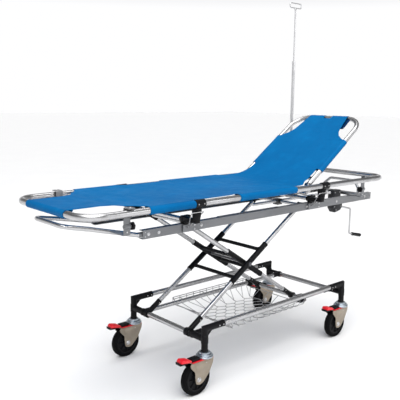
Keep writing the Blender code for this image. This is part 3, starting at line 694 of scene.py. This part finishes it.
def scissor():
    outer, inner = (FOOT_PIVOT, TOP_SLIDE), (HEAD_SLIDE, TOP_PIVOT)
    for side, sy in SIDES.items():
        name = f"outer_leg_{side}"
        leg(name, *outer, sy * OUTER_Y, (0.025, 0.016), "outer_scissor", name)
        leg(f"inner_leg_{side}", *inner, sy * INNER_Y, (0.022, 0.019), "inner_scissor", "inner_leg_frame")
    for level, at in (("lower", 0.354), ("upper", 0.558)):
        node = f"outer_brace_{level}"
        bar(f"{node}_look", at, *outer, OUTER_Y - 0.0143, "outer_scissor", [node])
    for level, at in (("lower", 0.382), ("upper", 0.529)):
        bar(f"inner_brace_{level}", at, *inner, INNER_Y - 0.0125, "inner_scissor")
    x, z = CENTRE.x, CENTRE.z
    pin = [along_y(x, z, 0.17, 0.012, 24)]
    for sy in BOTH:
        pin.append(turned((x, sy * 0.166, z), (0, sy, 0), [(0, 0.01), (0.0008, 0.0104), (0.0014, 0.01)], 24))
        pin.append(dome((x, sy * 0.1674, z), (0, sy, 0), 0.0085, 0.004))
    look("centre_axle", pin, GUNMETAL, "outer_scissor")

    x, z = HEAD_SLIDE.x, HEAD_SLIDE.z
    piece("lower_slider_rod", [along_y(x, z, 0.168, 0.0215)], ALUMINIUM, "lower_slider", ["lower_slider"])
    near, far = 0.166, 0.2018
    plates = [
        (near, far, 0.0118, 0.017, 0.0016), (near, far, -0.017, -0.0118, 0.0016),
        (0.196, far, -0.016, 0.016, 0.0014), (near, 0.1718, -0.016, 0.016, 0.0014),
    ]
    boss = [(0, 0.0165), (0.003, 0.016), (0.008, 0.0135)]
    shapes, bolts = [], []
    for sy in BOTH:
        y = sy * RAIL_Y
        for y_from, y_to, z_from, z_to, edge in plates:
            shapes.append(pad(x, 0.023, sy * y_from, sy * y_to, z + z_from, z + z_to, edge, 3))
        for sx in BOTH:
            shapes.append(hollow((x + sx * 0.019, y, z), (x + sx * 0.0232, y, z), 0.03, 0.0226))
            bolts.append(dome((x + sx * 0.015, sy * 0.184, z + 0.0168), (0, 0, 1), 0.003, 0.0014))
            bolts.append(hexagon((x + sx * 0.015, sy * 0.184, z - 0.0166), (0, 0, -1), 0.0036, 0.0018))
        shapes.append(turned((x, sy * 0.1665, z), (0, -sy, 0), boss, 28))
    piece("lower_slider_blocks", shapes, BLACK, "lower_slider")
    piece("lower_slider_bolts", bolts, STEEL, "lower_slider")

    x, z = TOP_SLIDE.x, TOP_SLIDE.z
    piece("upper_slider_rod", [along_y(x, z, 0.1836, 0.0158)], STEEL, "upper_slider", ["upper_slider"])
    shapes = [pad(x, 0.0228, sy * 0.1665, sy * 0.186, z - 0.0183, z + 0.0093, 0.0018, 3) for sy in BOTH]
    piece("upper_slider_blocks", shapes, BLACK, "upper_slider")
    nut = [pad(x, 0.019, -0.018, 0.018, z - 0.018, z + 0.013, 0.0022, 3)]
    nut += [hollow((x, sy * 0.018, z), (x, sy * 0.026, z), 0.022, 0.016) for sy in BOTH]
    piece("upper_slider_nut", nut, GUNMETAL, "upper_slider")


# ---- upper frame ----
def beams():
    """Two channels, open inward, with a wear strip on top and the heads of their bolts."""
    inner, wall, lip = BEAM_Y - 0.025, 0.003, BEAM_HALF - 0.003
    outline = [
        (inner, -BEAM_HALF), (BEAM_Y, -BEAM_HALF), (BEAM_Y, BEAM_HALF), (inner, BEAM_HALF), (inner, lip),
        (BEAM_Y - wall, lip), (BEAM_Y - wall, -lip), (inner, -lip),
    ]
    for side, sy in SIDES.items():
        channel = outline if sy > 0 else [(-y, z) for y, z in reversed(outline)]
        place, out = facing_x((BEAM_FOOT + BEAM_HEAD) / 2, BEAM_Z), (0, sy, 0)
        shapes = [slab(channel, BEAM_HEAD - BEAM_FOOT, place, 0.0004)]
        strip_from = (-0.354, sy * 0.1665, BEAM_TOP - 0.0005)
        shapes.append(block(strip_from, (0.058, sy * 0.179, BEAM_TOP + 0.0028), 0.0007))
        look(f"side_beam_{side}", shapes, GREY, "upper_frame")
        bolts = []
        for x in (-0.757, -0.704, -0.469, 0.269, 0.526, 0.798):
            washer = [(0, 0.0068), (0.0006, 0.0072), (0.0012, 0.0068)]
            bolts.append(turned((x, sy * BEAM_Y, BEAM_Z), out, washer, 24))
            bolts.append(dome((x, sy * (BEAM_Y + 0.0011), BEAM_Z), out, 0.0054, 0.0028))
        for x in (BEAM_FOOT + 0.013, BEAM_HEAD - 0.013):
            for rise in (0.009, -0.009):
                bolts.append(dome((x, sy * BEAM_Y, BEAM_Z + rise), out, 0.0024, 0.001))
        piece(f"beam_bolts_{side}", bolts, STEEL, "upper_frame")


def mirrored(half):
    """The points of one half of a path, then the same points on the other side."""
    return half + [(x, -y, z) for x, y, z in reversed(half)]


def bows():
    z, reach, head = BEAM_Z, BEAM_Y - 0.0033, 0.826
    path = [(-0.735, 0.176, z), (-0.8, 0.176, z), (-1.0, 0.134, z + 0.044), (-1.104, 0.112, z + 0.064)]
    look("foot_bow", [sweep(rounded(mirrored(path), 0.045), 0.0095, 32)], ALUMINIUM, "upper_frame")
    caps = [lipped((-0.8, sy * 0.176, z), (-0.752, sy * 0.176, z), 0.0215, 0.0004, 0.004) for sy in BOTH]
    piece("foot_bow_plugs", caps, GREY, "upper_frame")
    look("top_pivot_tube", [along_y(TOP_PIVOT.x, PIVOT_Z, reach, 0.019)], ALUMINIUM, "upper_frame")
    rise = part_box("head_bow")[1].z - 0.0078 - z
    hoop = [(head, 0.125, z), (head + 0.004, 0.122, z + rise * 0.52), (head + 0.019, 0.084, z + rise)]
    shapes = [along_y(head, z, reach, 0.024), sweep(rounded(mirrored(hoop), 0.022), 0.00775, 28)]
    look("head_bow", shapes, ALUMINIUM, "upper_frame")
    z = BEAM_TOP + GAP + 0.0135
    for end, x in zip(ENDS, (-0.55, 0.318)):
        look(f"{end}_saddle_tube", [along_y(x, z, 0.168, 0.0198)], ALUMINIUM, "upper_frame")
        shapes, bolts = [], []
        for sy in BOTH:
            shapes.append(pad(x, 0.0218, sy * 0.166, sy * 0.1893, BEAM_TOP + GAP, z + 0.0198, 0.003, 3))
            shapes.append(hollow((x, sy * 0.15, z), (x, sy * 0.1665, z), 0.0262, 0.02))
            for sx in BOTH:
                bolts.append(dome((x + sx * 0.014, sy * 0.178, z + 0.0196), (0, 0, 1), 0.0036, 0.0018))
        piece(f"{end}_saddle_blocks", shapes, BLACK, "upper_frame")
        piece(f"{end}_saddle_bolts", bolts, STEEL, "upper_frame")


def drive():
    """The gear housing, the lead screw that runs from it, and the crank."""
    z = PIVOT_Z
    low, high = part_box("gear_housing")
    profile = [
        (low.x, z + 0.0138), (low.x, 0.642), (0.758, low.z), (0.81, 0.624), (high.x, 0.64),
        (high.x, 0.674), (0.808, 0.7), (0.808, z + 0.0138),
    ]
    cover = [
        (0.741, z + 0.006), (0.741, 0.646), (0.761, 0.622), (0.806, 0.631), (0.82, 0.644),
        (0.82, 0.67), (0.801, 0.696), (0.801, z + 0.006),
    ]
    boss = [(0, 0.0125), (0.012, 0.0125), (0.014, 0.011)]
    shapes = [slab(soft_corners(profile, 0.006), 0.042, upright(), 0.0035, 3)]
    bolts = []
    for sy in BOTH:
        shapes.append(slab(soft_corners(cover, 0.005), 0.0024, upright(y=sy * 0.0218), 0.0008))
        for x, height in ((0.748, z), (0.794, z), (0.748, 0.65), (0.764, 0.63), (0.812, 0.648)):
            bolts.append(dome((x, sy * 0.0229, height), (0, sy, 0), 0.0028, 0.0014))
    shapes.append(turned(CRANK_FROM - CRANK_AXIS * 0.004, CRANK_AXIS, boss, 28))
    shapes.append(hollow((0.728, 0, z), (0.7352, 0, z), 0.028, 0.0172))
    look("gear_housing", shapes, CASTING, "upper_frame")
    piece("gear_housing_bolts", bolts, STEEL, "upper_frame")

    start, end, pitch, sides = 0.06, 0.7765, 0.004, 20
    count = int((end - start) / (pitch / 4))
    thread = []
    for i in range(count + 1):
        x = start + (end - start) * i / count
        thread.append([])
        for k in range(sides):
            angle = 2 * math.pi * k / sides
            lead = (x / pitch - k / sides) % 1.0
            radius = 0.0066 + 0.0014 * min(1.0, 2.2 * abs(lead - 0.5))
            thread[-1].append(Vector((x, radius * math.cos(angle), z + radius * math.sin(angle))))
    look("lead_screw", [skin(thread)], STEEL, "lead_screw", 60)

    elbow = CRANK_FROM + CRANK_AXIS * 0.15
    wrist = elbow - Vector((0, 0, 0.157))
    path = rounded([CRANK_FROM, elbow, wrist, wrist + CRANK_AXIS * 0.13], 0.012)
    cap = turned(wrist + CRANK_AXIS * 0.1255, CRANK_AXIS, [(0, 0.007), (0.0032, 0.0074), (0.0045, 0.006)], 24)
    look("crank_arm", [sweep(path, 0.00525, 24), cap], CHROME, "crank")
    grip = [
        (0.032, 0.0062), (0.0322, 0.0092), (0.034, 0.0106), (0.038, 0.0108), (0.052, 0.0098), (0.078, 0.0104),
        (0.104, 0.0109), (0.118, 0.0108), (0.1228, 0.0098), (0.124, 0.0062),
    ]
    look("crank_grip", [turned(wrist, CRANK_AXIS, grip, 36, True)], BLACK, "grip")


def cradle(end, side):
    """A black cup under the stretcher's rail on a grey plate bolted to the beam, with a wire bail."""
    sy, name = SIDES[side], f"cradle_{end}_{side}"
    x, plate_x = {"foot": (CRADLE_X[0], 0.046), "head": (CRADLE_X[1], 0.068)}[end]
    plate_x += x
    bottom = BEAM_TOP + GAP
    seat, clear = RAIL_Z - 0.0092, 0.0187
    rise = seat - bottom
    cup = [
        (0.0255, 0.0145), (0.0265, 0.016), (0.04, 0.0176), (0.041, 0.0184), (0.044, 0.0186), (0.045, 0.0182),
        (rise - 0.001, 0.0228), (rise, 0.0218),
    ] + [(rise, r / 1000) for r in range(19, 0, -3)]
    cup = turned((x, sy * 0.2625, bottom), (0, 0, 1), cup, 56)
    for corner in cup.verts:
        off = abs(corner.co.y) - STRETCHER_Y
        if abs(off) < clear:
            corner.co.z = min(corner.co.z, RAIL_Z - math.sqrt(clear ** 2 - off ** 2))
    arm = pad(x, 0.0128, sy * 0.1908, sy * 0.272, bottom + 0.0128, bottom + 0.0308, 0.0022, 3)
    riser = pad(x, 0.0118, sy * (BEAM_Y + 0.0047), sy * 0.2004, BEAM_Z + 0.0155, bottom + 0.0196, 0.0012, 3)
    piece(f"{name}_block", [cup, arm, riser], BLACK, "upper_frame", [name])
    flange = [(x - 0.018, -0.017), (plate_x + 0.01, -0.017), (plate_x + 0.01, 0.017), (x - 0.018, 0.017)]
    grey = slab(soft_corners(flange, 0.004), 0.0038, upright(y=sy * 0.1966, z=BEAM_Z), 0.0008)
    piece(f"{name}_plate", [grey], GREY, "upper_frame")
    bolts = [dome((x, sy * 0.226, bottom + 0.0306), (0, 0, 1), 0.0042, 0.002)]
    bolts += [dome((plate_x, sy * 0.1983, BEAM_Z + dz), (0, sy, 0), 0.0046, 0.0036) for dz in (-0.009, 0.009)]
    piece(f"{name}_bolts", bolts, STEEL, "upper_frame")
    far, near, back, high = sy * 0.285, sy * 0.206, sy * 0.198, bottom + 0.064
    wire = [
        (x + 0.004, back, BEAM_Z + 0.002), (x + 0.004, near, BEAM_Z + 0.004), (x - 0.048, far, high),
        (x + 0.02, far, high), (x + 0.016, near, BEAM_Z + 0.01), (x + 0.016, back, BEAM_Z + 0.008),
    ]
    piece(f"{name}_bail", [sweep(rounded(wire, 0.004, steps=5), 0.0019, 14)], CHROME, "upper_frame")


def pole():
    """The drip pole: a socket on the beam, a fixed tube, and a rod with a ring for bags that slides in it."""
    x, y = middle("iv_pole_upper").x, middle("iv_pole_upper").y
    low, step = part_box("iv_pole_lower")[0].z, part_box("iv_pole_lower")[1].z - 0.004
    face = BEAM_Y + 0.0045
    lower = [
        hollow((x, y, low + 0.001), (x, y, step), 0.019, 0.0116, 40),
        hollow((x, y, step - 0.016), (x, y, step + 0.004), 0.0208, 0.0112, 36),
    ]
    piece("iv_pole_tube", lower, CHROME, "upper_frame", ["iv_pole_lower"])
    collar = [
        hollow((x, y, low), (x, y, low + 0.075), 0.0266, 0.0192, 36),
        pad(x, 0.0178, face, face + 0.0048, low, low + 0.036, 0.0012),
        pad(x, 0.0178, face, y - 0.006, low, low + 0.0048, 0.0012),
    ]
    piece("iv_pole_socket", collar, GREY, "upper_frame")
    bolts = [dome((x + dx, face + 0.0047, low + 0.024), (0, 1, 0), 0.004, 0.0024) for dx in (-0.01, 0.01)]
    piece("iv_pole_socket_bolts", bolts, STEEL, "upper_frame")
    hook_low, hook_high, ends = POLE_HIGH.z - 0.03, POLE_HIGH.z - 0.0031, (x - 0.052, x + 0.052)
    ring = [(at, y, hook_low) for at in ends] + [(at, y, hook_high) for at in reversed(ends)]
    nut = [(0, 0.0047), (0.001, 0.0062), (0.012, 0.0062), (0.015, 0.0045)]
    shapes = [
        rod((x, y, POLE_LOW.z), (x, y, hook_low), 0.0095, 28),
        sweep(rounded(ring, 0.011, True), 0.003, 16, True),
        turned((x, y, hook_low - 0.014), (0, 0, 1), nut, 24),
    ]
    piece("iv_pole_rod", shapes, CHROME, "drip_rod", ["iv_pole_upper"])


# ---- stretcher ----
def latches(end, side):
    """A bent bracket that clips over the rail, and the lobed knob that pulls its pin."""
    tag = f"{end}_{side}"
    sx, sy = ENDS[end], SIDES[side]
    x, knob_z, wide = middle(f"latch_bracket_{tag}").x, middle(f"latch_knob_{tag}").z, LATCH_Y
    base_z, inner = (BEAM_Z + 0.0265, 0.1655) if end == "foot" else (BEAM_TOP + GAP, 0.168)
    clip = RAIL_Z + RAIL_TUBE_D / 2 + 0.0035
    bend = [(inner, base_z + 0.002), (wide, base_z + 0.002), (wide, clip + 0.002), (0.289, clip + 0.002)]
    centre = rounded([(0, sy * py, pz) for py, pz in bend], 0.005, steps=5)
    sides = [(point + normal * 0.0019, point - normal * 0.0019) for point, normal in offsets(centre)]
    outline = [(a.y, a.z) for a, _ in sides] + [(b.y, b.z) for _, b in reversed(sides)]
    y, out = sy * wide, (0, sy, 0)
    shapes = [
        slab(outline, 0.0308, facing_x(x), 0.0007),
        hollow((x - 0.0146, y, knob_z), (x + 0.0146, y, knob_z), 0.018, 0.0095, 28, 0.001),
    ]
    look(f"latch_bracket_{tag}", shapes, GREY, "stretcher")
    pins = [dome((x, sy * 0.278, clip + 0.0038), (0, 0, 1), 0.0042, 0.0022)]
    for z in (clip - 0.01, base_z + 0.014):
        pins.append(dome((x, sy * (wide + 0.0018), z), out, 0.0036, 0.0018))
    piece(f"latch_bolts_{tag}", pins, STEEL, "stretcher")
    stem = rod((x - sx * 0.0062, y, knob_z), (x - sx * 0.0205, y, knob_z), 0.008, 20)
    piece(f"latch_stem_{tag}", [stem], STEEL, f"knob_{tag}")
    grip = [
        (0.019, 0.007), (0.0198, 0.011), (0.0206, 0.0148), (0.0222, 0.0157), (0.0282, 0.0157),
        (0.0298, 0.0148), (0.0307, 0.0096), (0.031, 0.004),
    ]
    knob = turned((x, y, knob_z), (-sx, 0, 0), grip, 72, lobes=(6, 0.07))
    look(f"latch_knob_{tag}", [knob], BLACK, f"knob_{tag}")


def offsets(path):
    """Each point of a path in a plane of constant X, with its normal in that plane."""
    made = []
    for i, point in enumerate(path):
        way = path[min(i + 1, len(path) - 1)] - path[max(i - 1, 0)]
        made.append((point, Vector((0, -way.z, way.y)).normalized()))
    return made


def stretcher():
    """The rail, its dropped cross tube and hinge pins, and a ribbed collar at each cradle."""
    y, z = STRETCHER_Y, RAIL_Z
    foot, head = STRETCHER_FOOT, STRETCHER_HEAD
    corners = [(foot, -y, z), (foot, y, z), (head, y, z), (head, -y, z)]
    x, drop = HINGE.x - 0.034, z - 0.034
    cross = [(x, -y, z), (x, -y + 0.034, drop), (x, y - 0.034, drop), (x, y, z)]
    shapes = [sweep(rounded(corners, 0.09, True, 14), RAIL_TUBE_D / 2, 44, True)]
    shapes.append(sweep(rounded(cross, 0.03, steps=6), 0.009, 28))
    shapes += [rod((HINGE.x, sy * y, z), (HINGE.x, sy * 0.2145, z), 0.012, 24) for sy in BOTH]
    piece("stretcher_tubes", shapes, ALUMINIUM, "stretcher", ["stretcher_frame"])
    collars, bolts = [], []
    for sy in BOTH:
        for x in CRADLE_X:
            wide = [(x, 0.026, 0.035, 0.0284, 0.0005)]
            wide += [(x + at, 0.0022, 0.036, 0.0346, 0.0003) for at in (-0.0235, -0.008, 0.008, 0.0235)]
            for at, half, outer, inner, edge in wide:
                collars.append(hollow((at - half, sy * y, z), (at + half, sy * y, z), outer, inner, 40, edge))
            for at in (x - 0.0155, x + 0.0155):
                bolts.append(dome((at, sy * (y + 0.0174), z), (0, sy, 0), 0.003, 0.0014))
    piece("stretcher_collars", collars, BLACK, "stretcher")
    piece("stretcher_collar_screws", bolts, STEEL, "stretcher")


def backrest():
    start, top, y = 0.012, BACK_LENGTH, BACK_Y
    path = rounded([(start, -y, 0), (top, -y, 0), (top, y, 0), (start, y, 0)], 0.1, steps=14)
    shapes = [sweep(path, BACK_D / 2, 40), along_y(0.06, -0.003, y, 0.018)]
    piece("backrest_tubes", shifted(shapes, BACK_TURN), ALUMINIUM, "backrest", ["backrest_frame"])
    eyes = [hollow((0, sy * 0.215, 0), (0, sy * 0.2375, 0), 0.03, 0.0128, 32, 0.001) for sy in BOTH]
    piece("backrest_hinge_eyes", shifted(eyes, BACK_TURN), ALUMINIUM, "backrest")


# ---- canvas ----
SLEEVES = ((-0.823, CRADLE_X[0] - 0.028), (-0.329, 0.058))
BACK_SLEEVE_FOOT = 0.116
TONGUE_HALF = 0.147
NOTCH_HALF = 0.026
BEND_FOOT = 0.125  # where the canvas leaves the bed's plane for the backrest's
BEND_BACK = 0.112  # where it meets that plane, from the hinge
SPACING = 0.0125
WRAP = 215  # degrees of a tube that a sleeve covers
CLOTH = 0.0014
LIFT = 0.0009


def lerp(table, at):
    """Eased between the rows of a table of places and values."""
    for (a, u), (b, v) in zip(table, table[1:]):
        if at <= b:
            t = min(max((at - a) / (b - a), 0), 1)
            t = t * t * (3 - 2 * t)
            return u + (v - u) * t
    return table[-1][1]


def held(x):
    """1 on a sleeve and 0 well away from one."""
    near = min(max(a - x, x - b, 0) for a, b in SLEEVES)
    return max(0.0, 1 - near / 0.05)


def canvas_stations():
    """Points down the middle of the canvas, foot to head: place, half width, edge drop and sag."""
    tongue, rail, edge = TONGUE_HALF, STRETCHER_Y, 0.2625
    top = RAIL_Z + RAIL_TUBE_D / 2 + LIFT + CLOTH / 2
    rows = []
    widths = [
        (STRETCHER_FOOT, tongue), (-0.96, tongue), (-0.915, 0.16), (-0.87, 0.212), (-0.8245, edge),
        (-0.823, rail), (SLEEVES[0][1], rail), (SLEEVES[0][1] + 0.0015, edge),
        (-0.3305, edge), (-0.329, rail), (0.058, rail),
        (0.0595, edge), (0.12, 0.26), (0.16, 0.244),
    ]
    stops = sorted({w[0] for w in widths} | {round(-1.105 + k * SPACING, 4) for k in range(98)})
    inside = [s for s in stops if STRETCHER_FOOT + 0.002 < s < BEND_FOOT - 0.001]
    for x in [STRETCHER_FOOT] + inside + [BEND_FOOT]:
        free = 1 - held(x)
        sag = 0.007 * min(1, max(0, (x + 1.1) / 0.25))
        rows.append((Vector((x, 0, top)), Vector((0, 0, 1)), lerp(widths, x), 0.0022 * free, sag))
    normal = (BACK_TURN.to_3x3() @ Vector((0, 0, 1))).normalized()
    height = BACK_D / 2 + LIFT + CLOTH / 2
    first = Vector((BEND_FOOT, 0, top))
    last = BACK_TURN @ Vector((BEND_BACK, 0, height))
    meet = HINGE.x + height * math.tan(BACK_ANGLE / 2) * 0.4
    corner = Vector((meet, 0, top + 0.004))
    for k in range(1, 18):
        t = k / 18
        place = first * (1 - t) ** 2 + corner * 2 * t * (1 - t) + last * t * t
        up = Vector((0, 0, 1)).lerp(normal, t).normalized()
        width = lerp([(0, 0.2595), (0.45, 0.222), (0.8, 0.212), (1.0, 0.2105)], t)
        rows.append((place, up, width, 0.002, 0.007 - 0.0035 * math.sin(math.pi * t / 2)))
    back = [
        (BEND_BACK, 0.2105), (0.1155, 0.211), (0.1165, BACK_Y), (0.366, BACK_Y),
        (0.3675, 0.214), (0.38, 0.196),
        (0.405, 0.17), (0.432, 0.154), (0.465, 0.146), (0.52, 0.137), (0.57, 0.129),
    ]
    stops = sorted({w[0] for w in back} | {round(0.12 + k * SPACING, 4) for k in range(37)})
    for s in [v for v in stops if v <= BACK_LENGTH]:
        place = BACK_TURN @ Vector((s, 0, height))
        t = (s - BEND_BACK) / (BACK_LENGTH - BEND_BACK)
        sag = 0.0035 + 0.004 * math.sin(math.pi * min(1, 1.15 * t))
        rows.append((place, normal, lerp(back, s), 0.0, sag * min(1, (BACK_LENGTH - s) / 0.06)))
    return rows


def canvas_sheet():
    """The canvas as one thin closed surface, with its length down the middle and its area.
    It sags between its edges, ripples away from its ends, and is notched at the middle of the top bar."""
    rows = canvas_stations()
    columns = 56
    shape = bmesh.new()
    layers = ([], [])
    along = BACK_TURN.to_3x3() @ Vector((1, 0, 0))
    notch_from = BACK_TURN @ Vector((BACK_LENGTH - 0.022, 0, 0))
    run = 0.0
    area = 0.0
    total = sum((b[0] - a[0]).length for a, b in zip(rows, rows[1:]))
    for i, (place, up, width, drop, sag) in enumerate(rows):
        if i:
            step = (place - rows[i - 1][0]).length
            run += step
            area += step * (width + rows[i - 1][2])
        beyond = max(0.0, (place - notch_from).dot(along)) if i > len(rows) // 2 else 0.0
        across = []
        for k in range(columns + 1):
            v = -1 + 2 * k / columns
            v = math.sin(v * math.pi / 2) * 0.35 + v * 0.65
            y = v * width
            rest = 1 - abs(v) ** 2.4
            ripple = noise.noise(Vector((run * 5.5, y * 9, 0.3))) * 0.0016
            ripple += noise.noise(Vector((run * 26, y * 5, 4.1))) * 0.0007
            ripple *= min(1, run / 0.1, (total - run) / 0.1)
            hem = 0.0006 if abs(y) > width - 0.014 else 0.0
            fall = sag * rest - ripple * min(1, rest * 4) + drop * max(0, (abs(v) - 0.93) / 0.07) - hem
            back = along * beyond * 0.94 if abs(y) < NOTCH_HALF else Vector()
            across.append(place + Vector((0, y, 0)) - up * fall - back)
        for layer, side in zip(layers, (0.5, -0.5)):
            layer.append([shape.verts.new(p + up * CLOTH * side) for p in across])
    top, under = layers
    for layer, flip in ((top, False), (under, True)):
        for a, b in zip(layer, layer[1:]):
            for k in range(columns):
                quad = (a[k], b[k], b[k + 1], a[k + 1])
                shape.faces.new(tuple(reversed(quad)) if flip else quad)
    for i in range(len(rows) - 1):
        for k in (0, columns):
            shape.faces.new((top[i][k], top[i + 1][k], under[i + 1][k], under[i][k]))
    for i in (0, len(rows) - 1):
        for k in range(columns):
            shape.faces.new((top[i][k], top[i][k + 1], under[i][k + 1], under[i][k]))
    bmesh.ops.recalc_face_normals(shape, faces=shape.faces)
    made = piece("canvas_sheet", [shape], BLUE, None, ["bed_sheet", "back_sheet"], 60)
    return made, run, area


def sleeve(path, along, out, radius, tail):
    """Canvas round a tube: path is the tube's middle line, out the way it faces, along the way the tube runs.
    The wrap starts on top of the tube and goes round it by WRAP degrees, then runs on to the tail."""
    up = Vector(along).cross(Vector(out)).normalized()
    if up.z < 0:
        up.negate()
    out = Vector(out).normalized()
    profile = []
    for k in range(25):
        angle = math.radians(90 - WRAP * k / 24)
        profile.append((math.cos(angle), math.sin(angle)))
    rings = []
    for i, place in enumerate(path):
        flare = 0.0004 * noise.noise(Vector((i * 0.9, radius * 50, 2.0)))
        outer = [Vector(place) + (out * c + up * s) * (radius + CLOTH + flare * (1 - s)) for c, s in profile]
        inner = [Vector(place) + (out * c + up * s) * (radius + flare * (1 - s)) for c, s in profile]
        end = Vector(place) + out * tail[0] + up * tail[1]
        outer.append(end)
        inner.append(end + up * CLOTH * 0.9)
        rings.append(outer + list(reversed(inner)))
    return skin(rings)


def sleeves():
    """The canvas sewn round the rails, the foot bar and the backrest's tubes."""
    made = []
    z, radius, back_radius, back_tail = RAIL_Z, RAIL_TUBE_D / 2 + LIFT, BACK_D / 2 + LIFT, (-0.025, 0.0107)
    for side, sy in SIDES.items():
        shapes = []
        for start, end in SLEEVES:
            count = int((end - start) / 0.01)
            line = [(start + (end - start) * k / count, sy * STRETCHER_Y, z) for k in range(count + 1)]
            shapes.append(sleeve(line, (1, 0, 0), (0, sy, 0), radius, (-0.027, 0.0122)))
        made.append(piece(f"rail_sleeves_{side}", shapes, BLUE, "stretcher"))
        line = [BACK_TURN @ Vector((BACK_SLEEVE_FOOT + 0.01 * k, sy * BACK_Y, 0)) for k in range(26)]
        wrap = sleeve(line, line[-1] - line[0], (0, sy, 0), back_radius, back_tail)
        made.append(piece(f"back_sleeve_{side}", [wrap], BLUE, "backrest"))
    line = [(STRETCHER_FOOT, 0.0105 * k - TONGUE_HALF, z) for k in range(29)]
    foot = sleeve(line, (0, 1, 0), (-1, 0, 0), radius, (-0.03, 0.0112))
    made.append(piece("foot_bar_sleeve", [foot], BLUE, "stretcher"))
    out = BACK_TURN.to_3x3() @ Vector((1, 0, 0))
    shapes = []
    for sy in BOTH:
        line = [BACK_TURN @ Vector((BACK_LENGTH, sy * (NOTCH_HALF + 0.0103 * k), 0)) for k in range(11)]
        shapes.append(sleeve(line, (0, 1, 0), out, back_radius, back_tail))
    made.append(piece("top_bar_sleeve", shapes, BLUE, "backrest"))
    return made


def hems():
    """The dark under layer that shows along the backrest's cut-outs."""
    shapes = []
    for sy in BOTH:
        outline = [(0.47, 0.1), (0.47, 0.1535), (0.51, 0.154), (0.556, 0.152), (0.556, 0.1)]
        points = [(s, sy * y) for s, y in outline]
        if sy < 0:
            points.reverse()
        shapes.append(slab(points, 0.0012, BACK_TURN @ Matrix.Translation((0, 0, 0.0035)), 0.0003))
    return [piece("back_under_layer", shapes, NAVY, "backrest")]


def dress():
    sheet, length, area = canvas_sheet()
    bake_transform(sheet)
    extras = sleeves() + hems()


# ---- studio ----
def camera():
    """Low and to the foot end's left, looking along the trolley to its head end."""
    yaw, pitch, roll = (math.radians(a) for a in (47.8165, -9.134, 0.7602))
    forward = Vector((math.cos(pitch) * math.cos(yaw), math.cos(pitch) * math.sin(yaw), math.sin(pitch)))
    right = Vector((math.sin(yaw), -math.cos(yaw), 0))
    up = right.cross(forward)
    across = right * math.cos(roll) + up * math.sin(roll)
    above = up * math.cos(roll) - right * math.sin(roll)
    data = bpy.data.cameras.new("camera")
    data.lens = 54.23
    data.sensor_width = 36
    data.shift_x = -0.0017
    data.shift_y = -0.0127
    made = add("camera", data)
    turn = Matrix((across, above, -forward)).transposed().to_4x4()
    made.matrix_world = Matrix.Translation((-2.2021, -2.095, 1.2767)) @ turn
    bpy.context.scene.camera = made


def softbox(name, place, aim, size, power):
    """A rectangular light that points at the middle of the trolley, aim above the floor."""
    data = bpy.data.lights.new(name, "AREA")
    data.shape = "RECTANGLE"
    data.size, data.size_y = size
    data.energy = power
    way = Vector((0, 0, aim)) - Vector(place)
    turn = way.to_track_quat("-Z", "Y").to_matrix().to_4x4()
    add(name, data).matrix_world = Matrix.Translation(place) @ turn


def studio():
    """A pale floor and a banded world for the metal to reflect, with three soft boxes and a broad sun."""
    bpy.context.scene.view_settings.view_transform = "Standard"
    floor = bpy.data.meshes.new("floor")
    reach = 40
    corners = [(-reach, -reach, 0), (reach, -reach, 0), (reach, reach, 0), (-reach, reach, 0)]
    floor.from_pydata(corners, [], [(0, 1, 2, 3)])
    paper = Paint("studio_floor", "", (0.9, 0.9, 0.9), 0.85)
    paper.tint(paper.cloud(2.0, 3), (0.88, 0.88, 0.885))
    paper.bump(paper.cloud(180, 3), 0.04, 0.001)
    floor.materials.append(paper.made)
    add("floor", floor)
    world = bpy.data.worlds.new("studio")
    bpy.context.scene.world = world
    world.use_nodes = True
    tree = world.node_tree
    background = tree.nodes["Background"]
    where = tree.nodes.new("ShaderNodeTexCoord")
    split = tree.nodes.new("ShaderNodeSeparateXYZ")
    tree.links.new(where.outputs["Generated"], split.inputs["Vector"])
    ramp = tree.nodes.new("ShaderNodeValToRGB")
    stops = [(0.0, 1.0), (0.14, 1.0), (0.26, 0.26), (0.55, 0.16), (0.8, 0.4), (1.0, 0.5)]
    while len(ramp.color_ramp.elements) < len(stops):
        ramp.color_ramp.elements.new(0.5)
    for element, (at, grey) in zip(ramp.color_ramp.elements, stops):
        element.position = at
        element.color = (grey, grey, grey * 1.01, 1)
    tree.links.new(split.outputs["Z"], ramp.inputs["Fac"])
    tree.links.new(ramp.outputs["Color"], background.inputs["Color"])
    background.inputs["Strength"].default_value = 1.0
    softbox("key", (-2.6, -2.4, 3.4), 0.5, (2.6, 1.6), 55)
    softbox("fill", (1.8, -3.4, 2.2), 0.6, (2.0, 1.4), 22)
    softbox("top", (0.2, 0.6, 4.2), 0.4, (3.2, 1.2), 40)
    sky = bpy.data.lights.new("sky", "SUN")
    sky.energy = 2.6
    sky.angle = math.radians(70)
    add("sky", sky).rotation_euler = (math.radians(18), math.radians(-14), 0)


base()
basket()
scissor()
beams()
bows()
drive()
for end_name in ENDS:
    for side_name in SIDES:
        caster(end_name, side_name)
        cradle(end_name, side_name)
        latches(end_name, side_name)
pole()
stretcher()
backrest()
dress()
camera()
studio()
